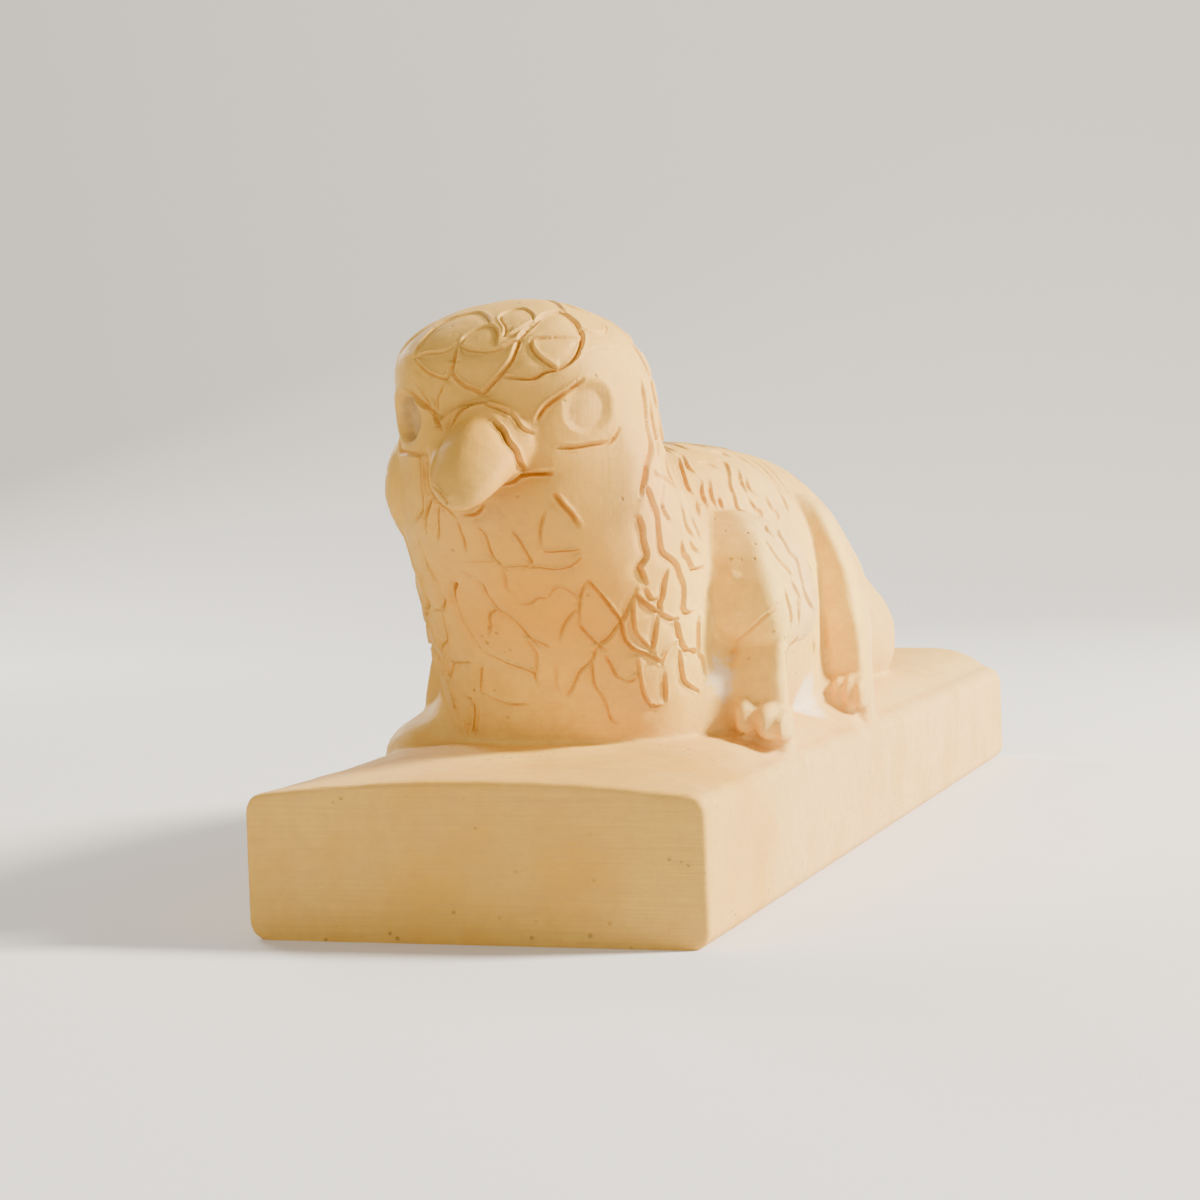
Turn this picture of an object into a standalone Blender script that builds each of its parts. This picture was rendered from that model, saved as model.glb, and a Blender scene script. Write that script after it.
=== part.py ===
"""Falcon-headed beast lying on its plinth, cast as one solid piece.

The figure faces -Y. The origin is at the middle of the plinth's underside.
Free forms are drawn in millimetres as (across, along, up): across from the
middle to the figure's left, which is +X, along from the plinth's front face
towards the tail, and up from the plinth's top edge.
"""

import math

import bmesh
import bpy
import numpy as np
from mathutils import Matrix, Vector
from mathutils.bvhtree import BVHTree
from mathutils.kdtree import KDTree

# Driving dimensions, in metres
PLINTH_LENGTH = 0.304
PLINTH_WIDTH = 0.082
PLINTH_HEIGHT = 0.0258
FIGURE_LENGTH = 0.298
FIGURE_WIDTH = 0.080
FIGURE_HEIGHT = 0.0866

# The figure is drawn 80 across, 298 along and 86.6 up
ACROSS = FIGURE_WIDTH / 80
ALONG = FIGURE_LENGTH / 298
UP = FIGURE_HEIGHT / 86.6

# Plinth finish, in metres
PLINTH_CROWN_FRONT = 0.0023
PLINTH_CROWN_REAR = 0.0057
PLINTH_FLARE = 0.0024
EDGE_RADIUS_FRONT = 0.0030
EDGE_RADIUS_REAR = 0.0045
FOOT_RADIUS = 0.0030
UNDERSIDE_TRIM = 0.0030

# How finely the forms are fused, and how many triangles are kept
MASS_VOXEL = 0.0022
SKIN_VOXEL = 0.0008
RING_POINTS = 40
KEPT_TRIANGLES = 9200

PLASTER_COLOUR = (0.79, 0.6, 0.37, 1)

# Torso and tail: (along, half width, ridge height, height of the widest line)
TORSO = (
    (45, 21, 42, 22),
    (60, 27, 55, 24),
    (80, 31, 60.5, 25),
    (100, 33.5, 61.8, 25),
    (115, 33.2, 61.8, 25),
    (127, 31, 61.5, 25),
    (142, 30, 61, 25),
    (160, 29, 60, 24),
    (178, 28, 56.5, 23),
    (196, 26.5, 48.5, 20),
    (212, 25, 39, 17),
    (228, 22, 31, 14),
    (242, 17.5, 24, 10),
    (262, 12, 16.5, 5),
    (282, 8.5, 12, 3),
    (297, 5, 8.5, 2),
)
TORSO_FOOT = -9
TORSO_FULLNESS = 2.35

# Chest and head, from the foot up:
# (up, front, line of greatest width, back, width to the right, width to the left)
COLUMN = (
    (-8, 45, 66, 90, 25, 25),
    (4, 42, 64, 92, 26.5, 26),
    (12, 38.5, 62, 94, 27.6, 26.5),
    (24, 32, 58, 94, 28, 27),
    (34, 24, 54, 92, 27.2, 26.5),
    (42, 16.5, 48, 86, 25.8, 26),
    (48, 12.5, 42, 80, 25.4, 25),
    (54, 11.8, 37, 74, 24, 23),
    (58, 12, 35, 70, 23.2, 22.6),
    (64, 12.5, 34, 67, 22.8, 22.6),
    (68, 12, 34, 66, 22.8, 22.4),
    (72, 12, 34, 65, 23.6, 22),
    (76, 13.5, 34, 63, 24, 20.6),
    (79, 16, 35, 60, 22.9, 18.2),
    (82, 20, 36, 56, 19.6, 14.6),
    (85, 26.5, 37, 48, 13, 9),
    (86.4, 32, 38, 43, 7, 4),
)
FRONT_FULLNESS = 2.6
BACK_FULLNESS = 2.15

# Beak, from the tip back: (along, low, high, width to the right, width to the left)
BEAK = (
    (0.0, 48.2, 51.0, 1.8, 1.8),
    (1.2, 47.8, 54.2, 4.0, 4.0),
    (3.0, 48.4, 57.2, 5.8, 5.8),
    (5.5, 49.6, 60.2, 7.0, 6.9),
    (8.5, 51.0, 62.8, 7.9, 8.0),
    (10.6, 51.8, 64.4, 8.3, 8.6),
    (11.4, 52.2, 67.2, 9.9, 9.4),
    (16, 53.0, 70.0, 11, 11),
    (24, 53.0, 71.0, 12, 12),
)
BEAK_AXIS = -1.2
BEAK_FULLNESS = 2.1
BEAK_RIDGE = 1.55

# Limbs, from the foot up: (up, inner side, outer side, front, back); the sides are
# measured at the front of the limb
UPPER_ARM = (
    (20.5, 28.5, 38.5, 62, 84),
    (23, 26.5, 40, 57.5, 88),
    (27, 25, 40.8, 55.5, 90),
    (33, 24, 39.6, 56.5, 91),
    (39, 23, 36.8, 60, 90),
    (43.5, 21.5, 33, 65.5, 87),
    (46.5, 20, 28, 71, 83),
)
FOREARM = (
    (-3, 23.5, 40.8, 61, 82),
    (4, 24, 40.6, 60.5, 82),
    (9, 25, 40.6, 59.5, 82),
    (13, 26.5, 40.6, 58.5, 82),
    (20, 29.5, 40.4, 60, 83),
    (27, 30, 39.5, 61.5, 84),
)
HIND_LEG = (
    (-3, 28.5, 41, 130, 150),
    (4, 29, 41, 129.5, 152),
    (9, 31, 41, 128, 156),
    (12.5, 31.5, 41, 126.5, 160),
    (20, 31.5, 40.8, 126, 172),
    (28, 30, 39.6, 126, 182),
    (33, 29, 38.6, 126, 178),
    (37, 27.5, 37, 126, 169),
    (42, 26, 34.5, 127, 163),
    (46.5, 24, 31.5, 129, 156),
    (49.5, 21, 26.5, 133, 148),
)
LIMB_FULLNESS = 6
HIND_LEG_TAPER = 0.17
FOREARM_TAPER = 0.25
# How far the right arm is set in from where the left one stands, and how much more
# for each millimetre up
RIGHT_UPPER_INSET = 9.5
RIGHT_FOREARM_INSET = 4.2
RIGHT_FOREARM_LEAN = 0.16

# Toes of the paws, from the inner one out: (across, half width, foot, top)
FRONT_TOES = ((27.4, 2.9, 4.6, 12.2), (32.3, 2.2, 4, 11.5), (36.6, 2.2, 3.4, 10.2), (39.7, 1.3, 3, 8.8))
FRONT_TOE_TIP = 54.5
HIND_TOES = ((32.4, 1.4, 3.4, 10.5), (34.9, 1.3, 3.3, 10.8), (37.3, 1.3, 3.3, 10.7), (39.6, 1.25, 3.3, 10.3))
HIND_TOE_TIP = 123

# Plates on the crown, as (turn, tilt) seen from the middle of the head
CROWN_LINES = (
    (0.8, 0.7, ((-16, 43), (-15, 35), (-15, 31), (-10, 27), (-4, 25), (-1, 24), (3, 27), (8, 31),
        (12, 35), (14, 40), (16, 45), (23, 54))),
    (0.6, 0.4, ((-15, 42), (-9, 40), (2, 39), (7, 40), (11, 42), (16, 44))),
    (0.6, 0.4, ((-15, 42), (-14, 47), (-8, 51), (-2, 52), (3, 48), (4, 42))),
    (0.6, 0.4, ((7, 45), (7, 50), (0, 59), (5, 64), (15, 65), (22, 60), (23, 54))),
    (0.6, 0.4, ((7, 45), (11, 46), (17, 50), (23, 54))),
    (0.6, 0.4, ((-34, 49), (-36, 43), (-36, 39), (-38, 36), (-31, 38), (-22, 39), (-16, 43))),
    (0.6, 0.5, ((-38, 36), (-30, 32), (-24, 30), (-19, 29), (-17, 30), (-15, 35))),
    (0.6, 0.5, ((-19, 28), (-20, 25), (-22, 22), (-22, 18))),
    (0.6, 0.4, ((-38, 36), (-39, 43), (-41, 53), (-35, 59), (-24, 63), (-10, 59), (-4, 54))),
    (0.6, 0.3, ((-57, 38), (-52, 44), (-52, 52), (-54, 60))),
    (0.8, 0.7, ((16, 44), (26, 55), (33, 59), (44, 61), (48, 55), (48, 49), (46, 43), (42, 37),
        (38, 33), (32, 30), (26, 29), (20, 27), (9, 29))),
    (0.6, 0.4, ((21, 43), (30, 43), (45, 43))),
    (0.7, 0.6, ((21, 43), (21, 39), (24, 35), (28, 32), (31, 30))),
    (0.6, 0.4, ((48, 49), (53, 47), (64, 48), (76, 53), (82, 57), (75, 61), (66, 64))),
    (0.6, 0.4, ((73, 82), (56, 72), (48, 61))),
    (0.6, 0.3, ((72, 75), (75, 67), (85, 61))),
    (0.6, 0.2, ((44, 36), (54, 39), (68, 41), (85, 41))),
)
# Beak, mouth, brow and cheek lines, as (turn, tilt)
FACE_LINES = (
    (0.7, 0.5, ((11, 16), (14, 12), (16, 9), (20, 7))),
    (0.8, 1, ((5, 12), (9, 8), (11, 4), (14, 0), (15, -4), (16, -7))),
    (0.8, 0.7, ((1, 20), (-5, 19), (-10, 16), (-12, 12), (-14, 7), (-15, 3), (-14, -2), (-14, -5),
        (-12, -9))),
    (0.8, 0.7, ((2, 19), (8, 17), (11, 15))),
    (0.8, 0.8, ((-15, -25), (-8, -25), (-3, -21))),
    (0.8, 1, ((7, -12), (6, -13), (11, -12), (14, -10), (18, -9), (23, -9), (27, -9))),
    (0.8, 0.9, ((23, -43), (28, -43), (33, -42), (38, -41), (41, -40))),
    (0.8, 0.9, ((14, -53), (20, -52), (27, -52), (34, -51), (40, -48), (43, -44))),
    (0.7, 0.5, ((24, -24), (22, -32), (22, -40))),
    (0.9, 0.9, ((-34, 3), (-33, -3), (-33, -12), (-33, -17), (-36, -22), (-43, -25))),
    (0.8, 0.7, ((-27, 18), (-23, 15), (-17, 10))),
    (0.7, 0.5, ((-35, 28), (-29, 23), (-25, 19))),
    (0.7, 0.6, ((-11, -9), (-7, -11), (-3, -15))),
    (0.8, 0.8, ((0, 21), (-6, 20), (-12, 18), (-19, 13), (-25, 6), (-28, -2), (-29, -9), (-27, -15),
        (-21, -22), (-18, -26))),
    (2, 0.9, ((-77, 7), (-75, -5), (-75, -15), (-77, -26))),
    (2, 0.9, ((-69, 4), (-67, -6), (-67, -15), (-70, -24))),
    (0.4, 0.3, ((84, 36), (90, 31))),
    (0.4, 0.3, ((83, 32), (91, 36))),
    (0.4, 0.3, ((87, 38), (87, 30))),
)
# Brow, eyelid, cheek and face edge on the left, which the right carries too
FACE_SIDE_LINES = (
    (0.9, 0.8, ((22, 13), (25, 17), (30, 20), (36, 23), (41, 26))),
    (0.9, 0.6, ((30, 1), (37, 1), (45, 2), (52, 3), (57, 8))),
    (0.9, 0.9, ((28, -17), (31, -21), (35, -25), (39, -30))),
    (1, 0.8, ((85, 30), (85, 22), (82, 11), (75, 1), (67, -6), (65, -11), (63, -17))),
)
# Scales and lozenges on the chest, as (turn, up) seen from the middle of the chest
CHEST_LINES = (
    (0.8, 0.8, ((-25, 43), (-26, 41), (-27, 39), (-29, 37))),
    (0.7, 0.6, ((-33, 37), (-36, 35), (-38, 33), (-39, 31))),
    (0.8, 1, ((-26, 40), (-26, 38), (-26, 36), (-27, 35), (-27, 33), (-28, 32), (-30, 31), (-33, 30))),
    (0.7, 0.5, ((-40, 30), (-36, 30), (-33, 30))),
    (0.7, 0.6, ((-33, 30), (-35, 28), (-37, 26), (-40, 24), (-45, 23), (-46, 21), (-43, 20), (-37, 20),
        (-33, 20))),
    (0.7, 0.7, ((-43, 31), (-46, 29), (-47, 27), (-49, 25))),
    (0.8, 1.1, ((-62, 22), (-58, 20), (-57, 18), (-55, 16), (-55, 14), (-56, 11), (-55, 9), (-56, 7))),
    (0.7, 0.8, ((-48, 21), (-51, 19), (-51, 17), (-52, 16))),
    (0.7, 0.7, ((-67, 18), (-67, 15), (-66, 13), (-65, 11), (-63, 9), (-61, 7))),
    (0.7, 0.5, ((-42, 20), (-47, 18), (-53, 16))),
    (0.8, 0.9, ((-47, 14), (-45, 13), (-42, 13), (-43, 11), (-48, 8), (-52, 6))),
    (0.7, 0.8, ((-28, 19), (-31, 17), (-35, 14))),
    (0.8, 0.8, ((-34, 14), (-29, 13), (-21, 12), (-12, 12))),
    (0.8, 1.1, ((-14, 37), (-12, 36), (-10, 35), (-10, 33), (-9, 31), (-8, 30), (-6, 29), (-3, 27),
        (-1, 25), (2, 24), (6, 23))),
    (0.8, 1.1, ((-19, 35), (-21, 34), (-23, 32), (-24, 30), (-25, 28), (-25, 26), (-24, 23), (-23, 22),
        (-19, 21), (-15, 20), (-9, 19), (-4, 18), (-3, 16))),
    (0.7, 0.6, ((-9, 30), (-13, 29), (-15, 27), (-18, 25))),
    (0.7, 0.8, ((-13, 49), (-14, 47), (-15, 45), (-17, 43))),
    (0.7, 0.8, ((-9, 46), (-9, 44), (-9, 43), (-10, 41))),
    (0.7, 0.8, ((-4, 45), (-3, 44), (-3, 42), (-3, 40), (-2, 39), (-1, 38), (2, 38), (6, 38))),
    (0.7, 0.7, ((4, 44), (5, 43), (6, 41), (7, 39), (7, 38))),
    (0.9, 0.4, ((-2, 38), (-2, 36), (-3, 34), (-1, 33))),
    (0.7, 0.4, ((-12, 39), (-9, 39), (-5, 39), (-3, 39))),
    (0.7, 0.5, ((-1, 31), (3, 31), (6, 32), (9, 32))),
    (0.8, 0.5, ((-2, 24), (-1, 23), (0, 21), (-3, 17))),
    (0.8, 0.9, ((22, 35), (25, 33), (28, 31), (31, 29), (34, 27), (36, 24), (40, 22), (45, 21),
        (50, 20), (53, 19))),
    (0.8, 0.8, ((19, 27), (22, 25), (26, 23), (29, 22))),
    (0.7, 0.7, ((38, 33), (36, 29), (34, 27), (30, 24), (26, 23))),
    (0.7, 0.6, ((26, 23), (24, 20), (19, 18), (15, 15), (11, 13))),
    (0.7, 0.6, ((24, 21), (25, 16), (28, 14), (31, 12), (34, 9), (38, 8))),
    (0.8, 0.7, ((29, 21), (32, 19), (35, 17), (40, 16), (44, 17))),
    (0.7, 0.5, ((19, 30), (14, 27), (11, 24))),
    (0.7, 0.6, ((42, 20), (45, 16), (48, 13), (52, 11), (56, 11))),
    (0.7, 0.4, ((8, 19), (7, 16), (8, 14))),
    (0.7, 0.6, ((37, 32), (38, 28), (40, 25), (44, 23), (49, 21))),
    (0.7, 0.5, ((22, 35), (20, 32), (19, 27))),
    (0.7, 0.5, ((9, 32), (13, 34), (17, 33), (20, 31))),
)
# Scales on the left of the neck and shoulder, as (turn, up)
SCALE_LINES = (
    (0.7, 0.5, ((53, 62), (54, 60), (52, 57), (51, 54), (52, 53))),
    (0.7, 0.5, ((40, 54), (43, 53), (53, 53), (62, 52), (72, 51))),
    (0.9, 0.9, ((37, 51), (38, 50), (40, 48), (43, 46), (44, 44), (45, 42), (46, 40), (48, 39),
        (52, 38), (55, 37), (58, 35), (61, 33), (61, 30), (61, 29), (64, 28), (71, 28), (77, 29),
        (81, 30))),
    (0.9, 0.9, ((35, 46), (37, 44), (38, 42), (40, 39), (38, 37), (39, 36), (41, 34))),
    (0.9, 0.8, ((38, 32), (40, 31), (43, 30), (46, 29), (50, 28), (55, 27), (58, 27))),
    (0.8, 0.8, ((50, 36), (49, 34), (49, 32), (48, 30), (49, 29))),
    (0.8, 0.6, ((41, 33), (44, 31), (46, 31))),
    (0.9, 0.9, ((60, 41), (61, 39), (65, 38), (70, 36), (79, 36), (83, 36))),
    (0.7, 0.6, ((50, 52), (48, 50), (46, 48), (50, 46), (53, 45))),
    (0.9, 0.8, ((57, 27), (59, 25), (61, 23), (65, 21), (69, 21), (74, 20))),
    (0.8, 0.8, ((75, 27), (74, 25), (74, 23), (74, 20))),
    (0.8, 0.6, ((48, 28), (48, 25), (48, 23), (47, 21))),
    (0.8, 0.7, ((53, 19), (54, 21), (56, 22), (60, 23))),
    (0.8, 0.7, ((61, 21), (64, 17), (67, 15), (76, 13))),
    (0.8, 0.6, ((55, 17), (57, 14), (58, 12))),
    (0.8, 0.6, ((74, 20), (78, 19), (80, 16))),
)
# Streaks hanging down the left shoulder and flank, as (along, roll)
STREAK_LINES = (
    (0.7, 0.6, ((49, 57), (47, 53), (47, 50), (50, 48))),
    (0.7, 0.6, ((80, 66), (75, 61), (70, 54), (69, 51))),
    (0.7, 0.6, ((84, 67), (78, 61), (77, 58))),
    (0.7, 0.6, ((48, 44), (47, 40), (47, 37), (49, 35), (52, 33))),
    (0.7, 0.6, ((54, 42), (55, 39), (56, 36), (57, 32))),
    (0.7, 0.6, ((68, 48), (64, 42), (59, 35), (58, 33))),
    (0.7, 0.6, ((76, 54), (72, 49), (70, 44), (63, 38))),
    (0.7, 0.6, ((79, 53), (75, 48), (73, 43))),
    (0.7, 0.6, ((84, 61), (88, 60), (89, 57))),
    (0.7, 0.6, ((94, 60), (96, 58), (92, 54), (86, 49), (83, 44), (82, 42), (80, 38), (64, 31),
        (60, 28), (59, 25))),
    (0.7, 0.6, ((77, 46), (75, 42), (65, 36), (64, 34))),
    (0.7, 0.6, ((98, 54), (93, 49), (91, 45))),
    (0.7, 0.6, ((90, 43), (90, 39), (91, 36), (75, 29), (73, 25))),
    (0.7, 0.6, ((100, 42), (99, 38), (100, 34), (81, 27), (78, 23), (77, 19), (79, 17), (77, 12),
        (76, 8), (78, 5), (82, 2))),
    (0.7, 0.6, ((66, 24), (65, 20), (66, 17), (69, 14), (69, 12))),
    (0.7, 0.6, ((116, 46), (113, 40), (111, 36))),
    (0.7, 0.6, ((62, 9), (62, 6), (63, 2), (64, -1))),
    (0.7, 0.6, ((70, 7), (69, 3), (70, -1))),
    (0.7, 0.6, ((73, -5), (74, -9), (75, -12))),
    (0.7, 0.6, ((101, 66), (107, 65), (107, 62))),
    (0.7, 0.6, ((68, 11), (70, 8), (71, 4))),
    (0.7, 0.6, ((111, 18), (114, 13), (117, 7))),
    (0.7, 0.6, ((65, -7), (65, -11), (64, -15))),
    (0.7, 0.6, ((113, -11), (115, -15), (113, -19))),
    (0.7, 0.6, ((97, 50), (94, 46), (95, 43))),
    (0.7, 0.6, ((48, 32), (50, 30), (53, 28))),
)
# Crease at the left elbow, from points beside it
JOINT_LINES = (
    (0.9, 0.5, ((29.5, 60, 20.5), (32, 58, 22.5), (34.5, 57, 24.5), (37, 56.5, 26.5), (39, 57, 28),
        (40.5, 60, 29.5))),
)

# Where the drawn lines are seen from, in millimetres
HEAD_MIDDLE = (0, 36, 58)
CHEST_MIDDLE = 58
NAPE_MIDDLE = 40
TORSO_MIDDLE = 25

# How lines are cut: steps between drawn points, width and depth against the
# drawn ones, and how much the shoulders sink and the lips stand up
LINE_STEPS = 10
LINE_SPREAD = 0.95
LINE_DEPTH = 1.3
SHOULDER = 0.26
SHOULDER_REACH = 2.1
LIP = 0.16
RELAX_PASSES = 3

# Eye sockets: centre on the left side, in millimetres
EYE = (16.7, 18, 65.1)
EYE_RADIUS = 4.1
EYE_DEPTH = {1: 0.9, -1: 2.4}
EYE_EDGE = {1: 0.42, -1: 0.25}
EYE_RIM = 0.2


def spot(across, along, up):
    """Where a point drawn in millimetres lies, in metres."""
    return Vector(
        (across * ACROSS + PLINTH_FLARE / 2, along * ALONG - PLINTH_LENGTH / 2, up * UP + PLINTH_HEIGHT)
    )


def power(value, exponent):
    """Signed power, for superellipse outlines."""
    return math.copysign(abs(value) ** exponent, value)


def add_loft(bm, rings):
    """A closed shell through rings of points, with a flat cap at each end."""
    rows = [[bm.verts.new(point) for point in ring] for ring in rings]
    count = len(rows[0])
    for near, far in zip(rows, rows[1:]):
        for i in range(count):
            j = (i + 1) % count
            bm.faces.new((near[i], near[j], far[j], far[i]))
    bm.faces.new(list(reversed(rows[0])))
    bm.faces.new(rows[-1])


def add_ball(bm, centre, radii, turn=(0, 0, 0)):
    """An ellipsoid. Turn is in degrees about X, then Y, then Z."""
    spin = Matrix.Rotation(math.radians(turn[2]), 4, "Z")
    spin = spin @ Matrix.Rotation(math.radians(turn[1]), 4, "Y")
    spin = spin @ Matrix.Rotation(math.radians(turn[0]), 4, "X")
    size = Matrix.Diagonal((radii[0] * ACROSS, radii[1] * ALONG, radii[2] * UP, 1))
    place = Matrix.Translation(spot(*centre)) @ spin @ size
    bmesh.ops.create_uvsphere(bm, u_segments=24, v_segments=16, radius=1, matrix=place)


def torso_ring(along, half_width, ridge, waist):
    ring = []
    for i in range(RING_POINTS):
        a = 2 * math.pi * i / RING_POINTS
        across = half_width * power(math.cos(a), 2 / TORSO_FULLNESS)
        rise = (ridge - waist) if math.sin(a) > 0 else (waist - TORSO_FOOT)
        ring.append(spot(across, along, waist + rise * power(math.sin(a), 2 / TORSO_FULLNESS)))
    return ring


def column_ring(up, front, widest, back, right, left):
    ring = []
    for i in range(RING_POINTS):
        a = 2 * math.pi * i / RING_POINTS
        depth, fullness = widest - front, FRONT_FULLNESS
        if math.sin(a) > 0:
            depth, fullness = back - widest, BACK_FULLNESS
        width = left if math.cos(a) > 0 else right
        across = width * power(math.cos(a), 2 / fullness)
        ring.append(spot(across, widest + depth * power(math.sin(a), 2 / fullness), up))
    return ring


def add_masses(bm):
    """The big soft forms: torso, chest with head, rump, and the plaster between legs and body."""
    add_loft(bm, [torso_ring(*s) for s in TORSO])
    add_loft(bm, [column_ring(*s) for s in COLUMN])
    for side in (-1, 1):
        add_ball(bm, (side * 17.5, 200, 15.5), (12.8, 27, 16), (-10, 0, side * -8))
        add_ball(bm, (side * 25.5, 65.5, 10), (7, 9, 14))
        add_ball(bm, (side * 28.5, 136, 6), (6.5, 13, 14))
        add_ball(bm, (side * 32, 128, -1), (8, 14, 5.5))
    add_ball(bm, (21.2, 29, 52.5), (5.4, 9, 10))
    # the right front paw, worn down to a mound
    add_ball(bm, (-30, 60, 1), (11, 18, 8.5))


def add_beak(bm):
    rings = []
    for along, low, high, right, left in BEAK:
        ring = []
        for i in range(28):
            a = 2 * math.pi * i / 28
            width = left if math.cos(a) > 0 else right
            fullness = BEAK_RIDGE if math.sin(a) > 0 else BEAK_FULLNESS
            across = BEAK_AXIS + width * power(math.cos(a), 2 / fullness)
            up = (low + high) / 2 + (high - low) / 2 * power(math.sin(a), 2 / fullness)
            ring.append(spot(across, along, up))
        rings.append(ring)
    add_loft(bm, rings)


def add_limb(bm, side, stations, taper=0, inset=0, lean=0):
    """A slab limb, set in from its stations, that narrows towards its back by the taper."""
    rings = []
    for up, inner, outer, front, back in stations:
        ring = []
        for i in range(24):
            a = 2 * math.pi * i / 24
            reach = (back - front) / 2 * power(math.sin(a), 2 / LIMB_FULLNESS)
            across = (inner + outer) / 2 + (outer - inner) / 2 * power(math.cos(a), 2 / LIMB_FULLNESS)
            across -= inset + lean * up + taper * (reach + (back - front) / 2)
            ring.append(spot(side * across, (front + back) / 2 + reach, up))
        rings.append(ring)
    add_loft(bm, rings)


def add_paw(bm, side, toes, tip):
    """A row of toes, each an upright rounded bar in front of the limb."""
    for across, half, foot, top in toes:
        reach = 0.05 * (across - toes[2][0]) ** 2
        for share in (0.34, 0.5, 0.66):
            centre = (side * across, tip + reach + 4.6, foot + (top - foot) * share)
            add_ball(bm, centre, (half * 0.98, 4.6, (top - foot) * 0.36), (8 if share > 0.5 else 0, 0, 0))


def arc(across, up, radius, start, steps=5):
    """A quarter circle round a corner of the plinth's cross-section."""
    turns = [math.radians(start + 90 * k / (steps - 1)) for k in range(steps)]
    return [(across + radius * math.cos(a), up + radius * math.sin(a)) for a in turns]


def plinth_ring(along, inset):
    """Cross-section of the plinth: rounded edges and a crowned top."""
    share = along / PLINTH_LENGTH
    crown = PLINTH_CROWN_FRONT + (PLINTH_CROWN_REAR - PLINTH_CROWN_FRONT) * min(1, share * 4)
    fullness = 2 + 4 * min(1, share * 7)
    radius = EDGE_RADIUS_FRONT + (EDGE_RADIUS_REAR - EDGE_RADIUS_FRONT) * share
    foot = FOOT_RADIUS
    left = PLINTH_WIDTH / 2 - inset
    right = left + PLINTH_FLARE * max(0, 1 - share * 2.5)
    top = PLINTH_HEIGHT - inset
    points = [(-right + foot, -UNDERSIDE_TRIM), (left - foot, -UNDERSIDE_TRIM)]
    points += arc(left - foot, foot, foot, -90)
    points += arc(left - radius, top - radius, radius, 0)
    for k in range(1, 28):
        x = 1 - k / 14
        points.append((x * ((left if x > 0 else right) - radius), top + crown * (1 - abs(x) ** fullness)))
    points += arc(-right + radius, top - radius, radius, 90)
    points += arc(-right + foot, foot, foot, 180)
    return [Vector((x + PLINTH_FLARE / 2, along - PLINTH_LENGTH / 2, z)) for x, z in points]


def add_plinth(bm):
    edge = 0.0006
    stops = [0, edge] + [PLINTH_LENGTH * k / 12 for k in range(1, 12)]
    stops += [PLINTH_LENGTH - edge, PLINTH_LENGTH]
    add_loft(bm, [plinth_ring(s, edge if s in (0, PLINTH_LENGTH) else 0) for s in stops])


def add_crisp_forms(bm):
    """Plinth, beak, right cheek, arms, hind legs and paws."""
    add_plinth(bm)
    add_beak(bm)
    add_ball(bm, (-21.2, 29, 53), (3.8, 8.5, 9.5))
    add_limb(bm, 1, UPPER_ARM)
    add_limb(bm, 1, FOREARM, FOREARM_TAPER)
    add_limb(bm, -1, UPPER_ARM, 0, RIGHT_UPPER_INSET)
    add_limb(bm, -1, FOREARM, FOREARM_TAPER, RIGHT_FOREARM_INSET, RIGHT_FOREARM_LEAN)
    add_paw(bm, 1, FRONT_TOES, FRONT_TOE_TIP)
    for side in (-1, 1):
        add_limb(bm, side, HIND_LEG, HIND_LEG_TAPER)
        add_paw(bm, side, HIND_TOES, HIND_TOE_TIP)


def fused(bm, voxel):
    """The closed shells of a bmesh fused into one skin."""
    bmesh.ops.recalc_face_normals(bm, faces=bm.faces)
    mesh = bpy.data.meshes.new("forms")
    bm.to_mesh(mesh)
    bm.free()
    holder = bpy.data.objects.new("forms", mesh)
    bpy.context.scene.collection.objects.link(holder)
    remesh = holder.modifiers.new("Fuse", "REMESH")
    remesh.mode = "VOXEL"
    remesh.voxel_size = voxel
    depsgraph = bpy.context.evaluated_depsgraph_get()
    skin = bpy.data.meshes.new_from_object(holder.evaluated_get(depsgraph))
    bpy.data.objects.remove(holder)
    return skin


def read_vertices(mesh, field):
    values = np.empty(len(mesh.vertices) * 3)
    mesh.vertices.foreach_get(field, values)
    return values.reshape(-1, 3)


def write_positions(mesh, co):
    mesh.vertices.foreach_set("co", co.ravel())
    mesh.update()


def relax(mesh, passes):
    """Moves each point towards the mean of its neighbours, which fillets the creases."""
    co = read_vertices(mesh, "co")
    ends = np.empty(len(mesh.edges) * 2, np.int32)
    mesh.edges.foreach_get("vertices", ends)
    a, b = ends.reshape(-1, 2).T
    degree = np.bincount(np.concatenate([a, b]), minlength=len(co))[:, None]
    for _ in range(passes):
        total = [np.bincount(a, co[b, k], len(co)) + np.bincount(b, co[a, k], len(co)) for k in range(3)]
        co += 0.6 * (np.column_stack(total) / degree - co)
    write_positions(mesh, co)


def uncarved_skin():
    bm = bmesh.new()
    add_masses(bm)
    masses = fused(bm, MASS_VOXEL)
    relax(masses, 8)
    bm = bmesh.new()
    bm.from_mesh(masses)
    add_crisp_forms(bm)
    skin = fused(bm, SKIN_VOXEL)
    relax(skin, RELAX_PASSES)
    return skin


def thinned(mesh, triangles):
    """The same skin with fewer triangles, most of them where it is carved."""
    holder = bpy.data.objects.new("skin", mesh)
    bpy.context.scene.collection.objects.link(holder)
    collapse = holder.modifiers.new("Thin", "DECIMATE")
    collapse.ratio = min(1, triangles / (2 * len(mesh.polygons)))
    collapse.use_collapse_triangulate = True
    depsgraph = bpy.context.evaluated_depsgraph_get()
    thin = bpy.data.meshes.new_from_object(holder.evaluated_get(depsgraph))
    bpy.data.objects.remove(holder)
    return thin


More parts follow.
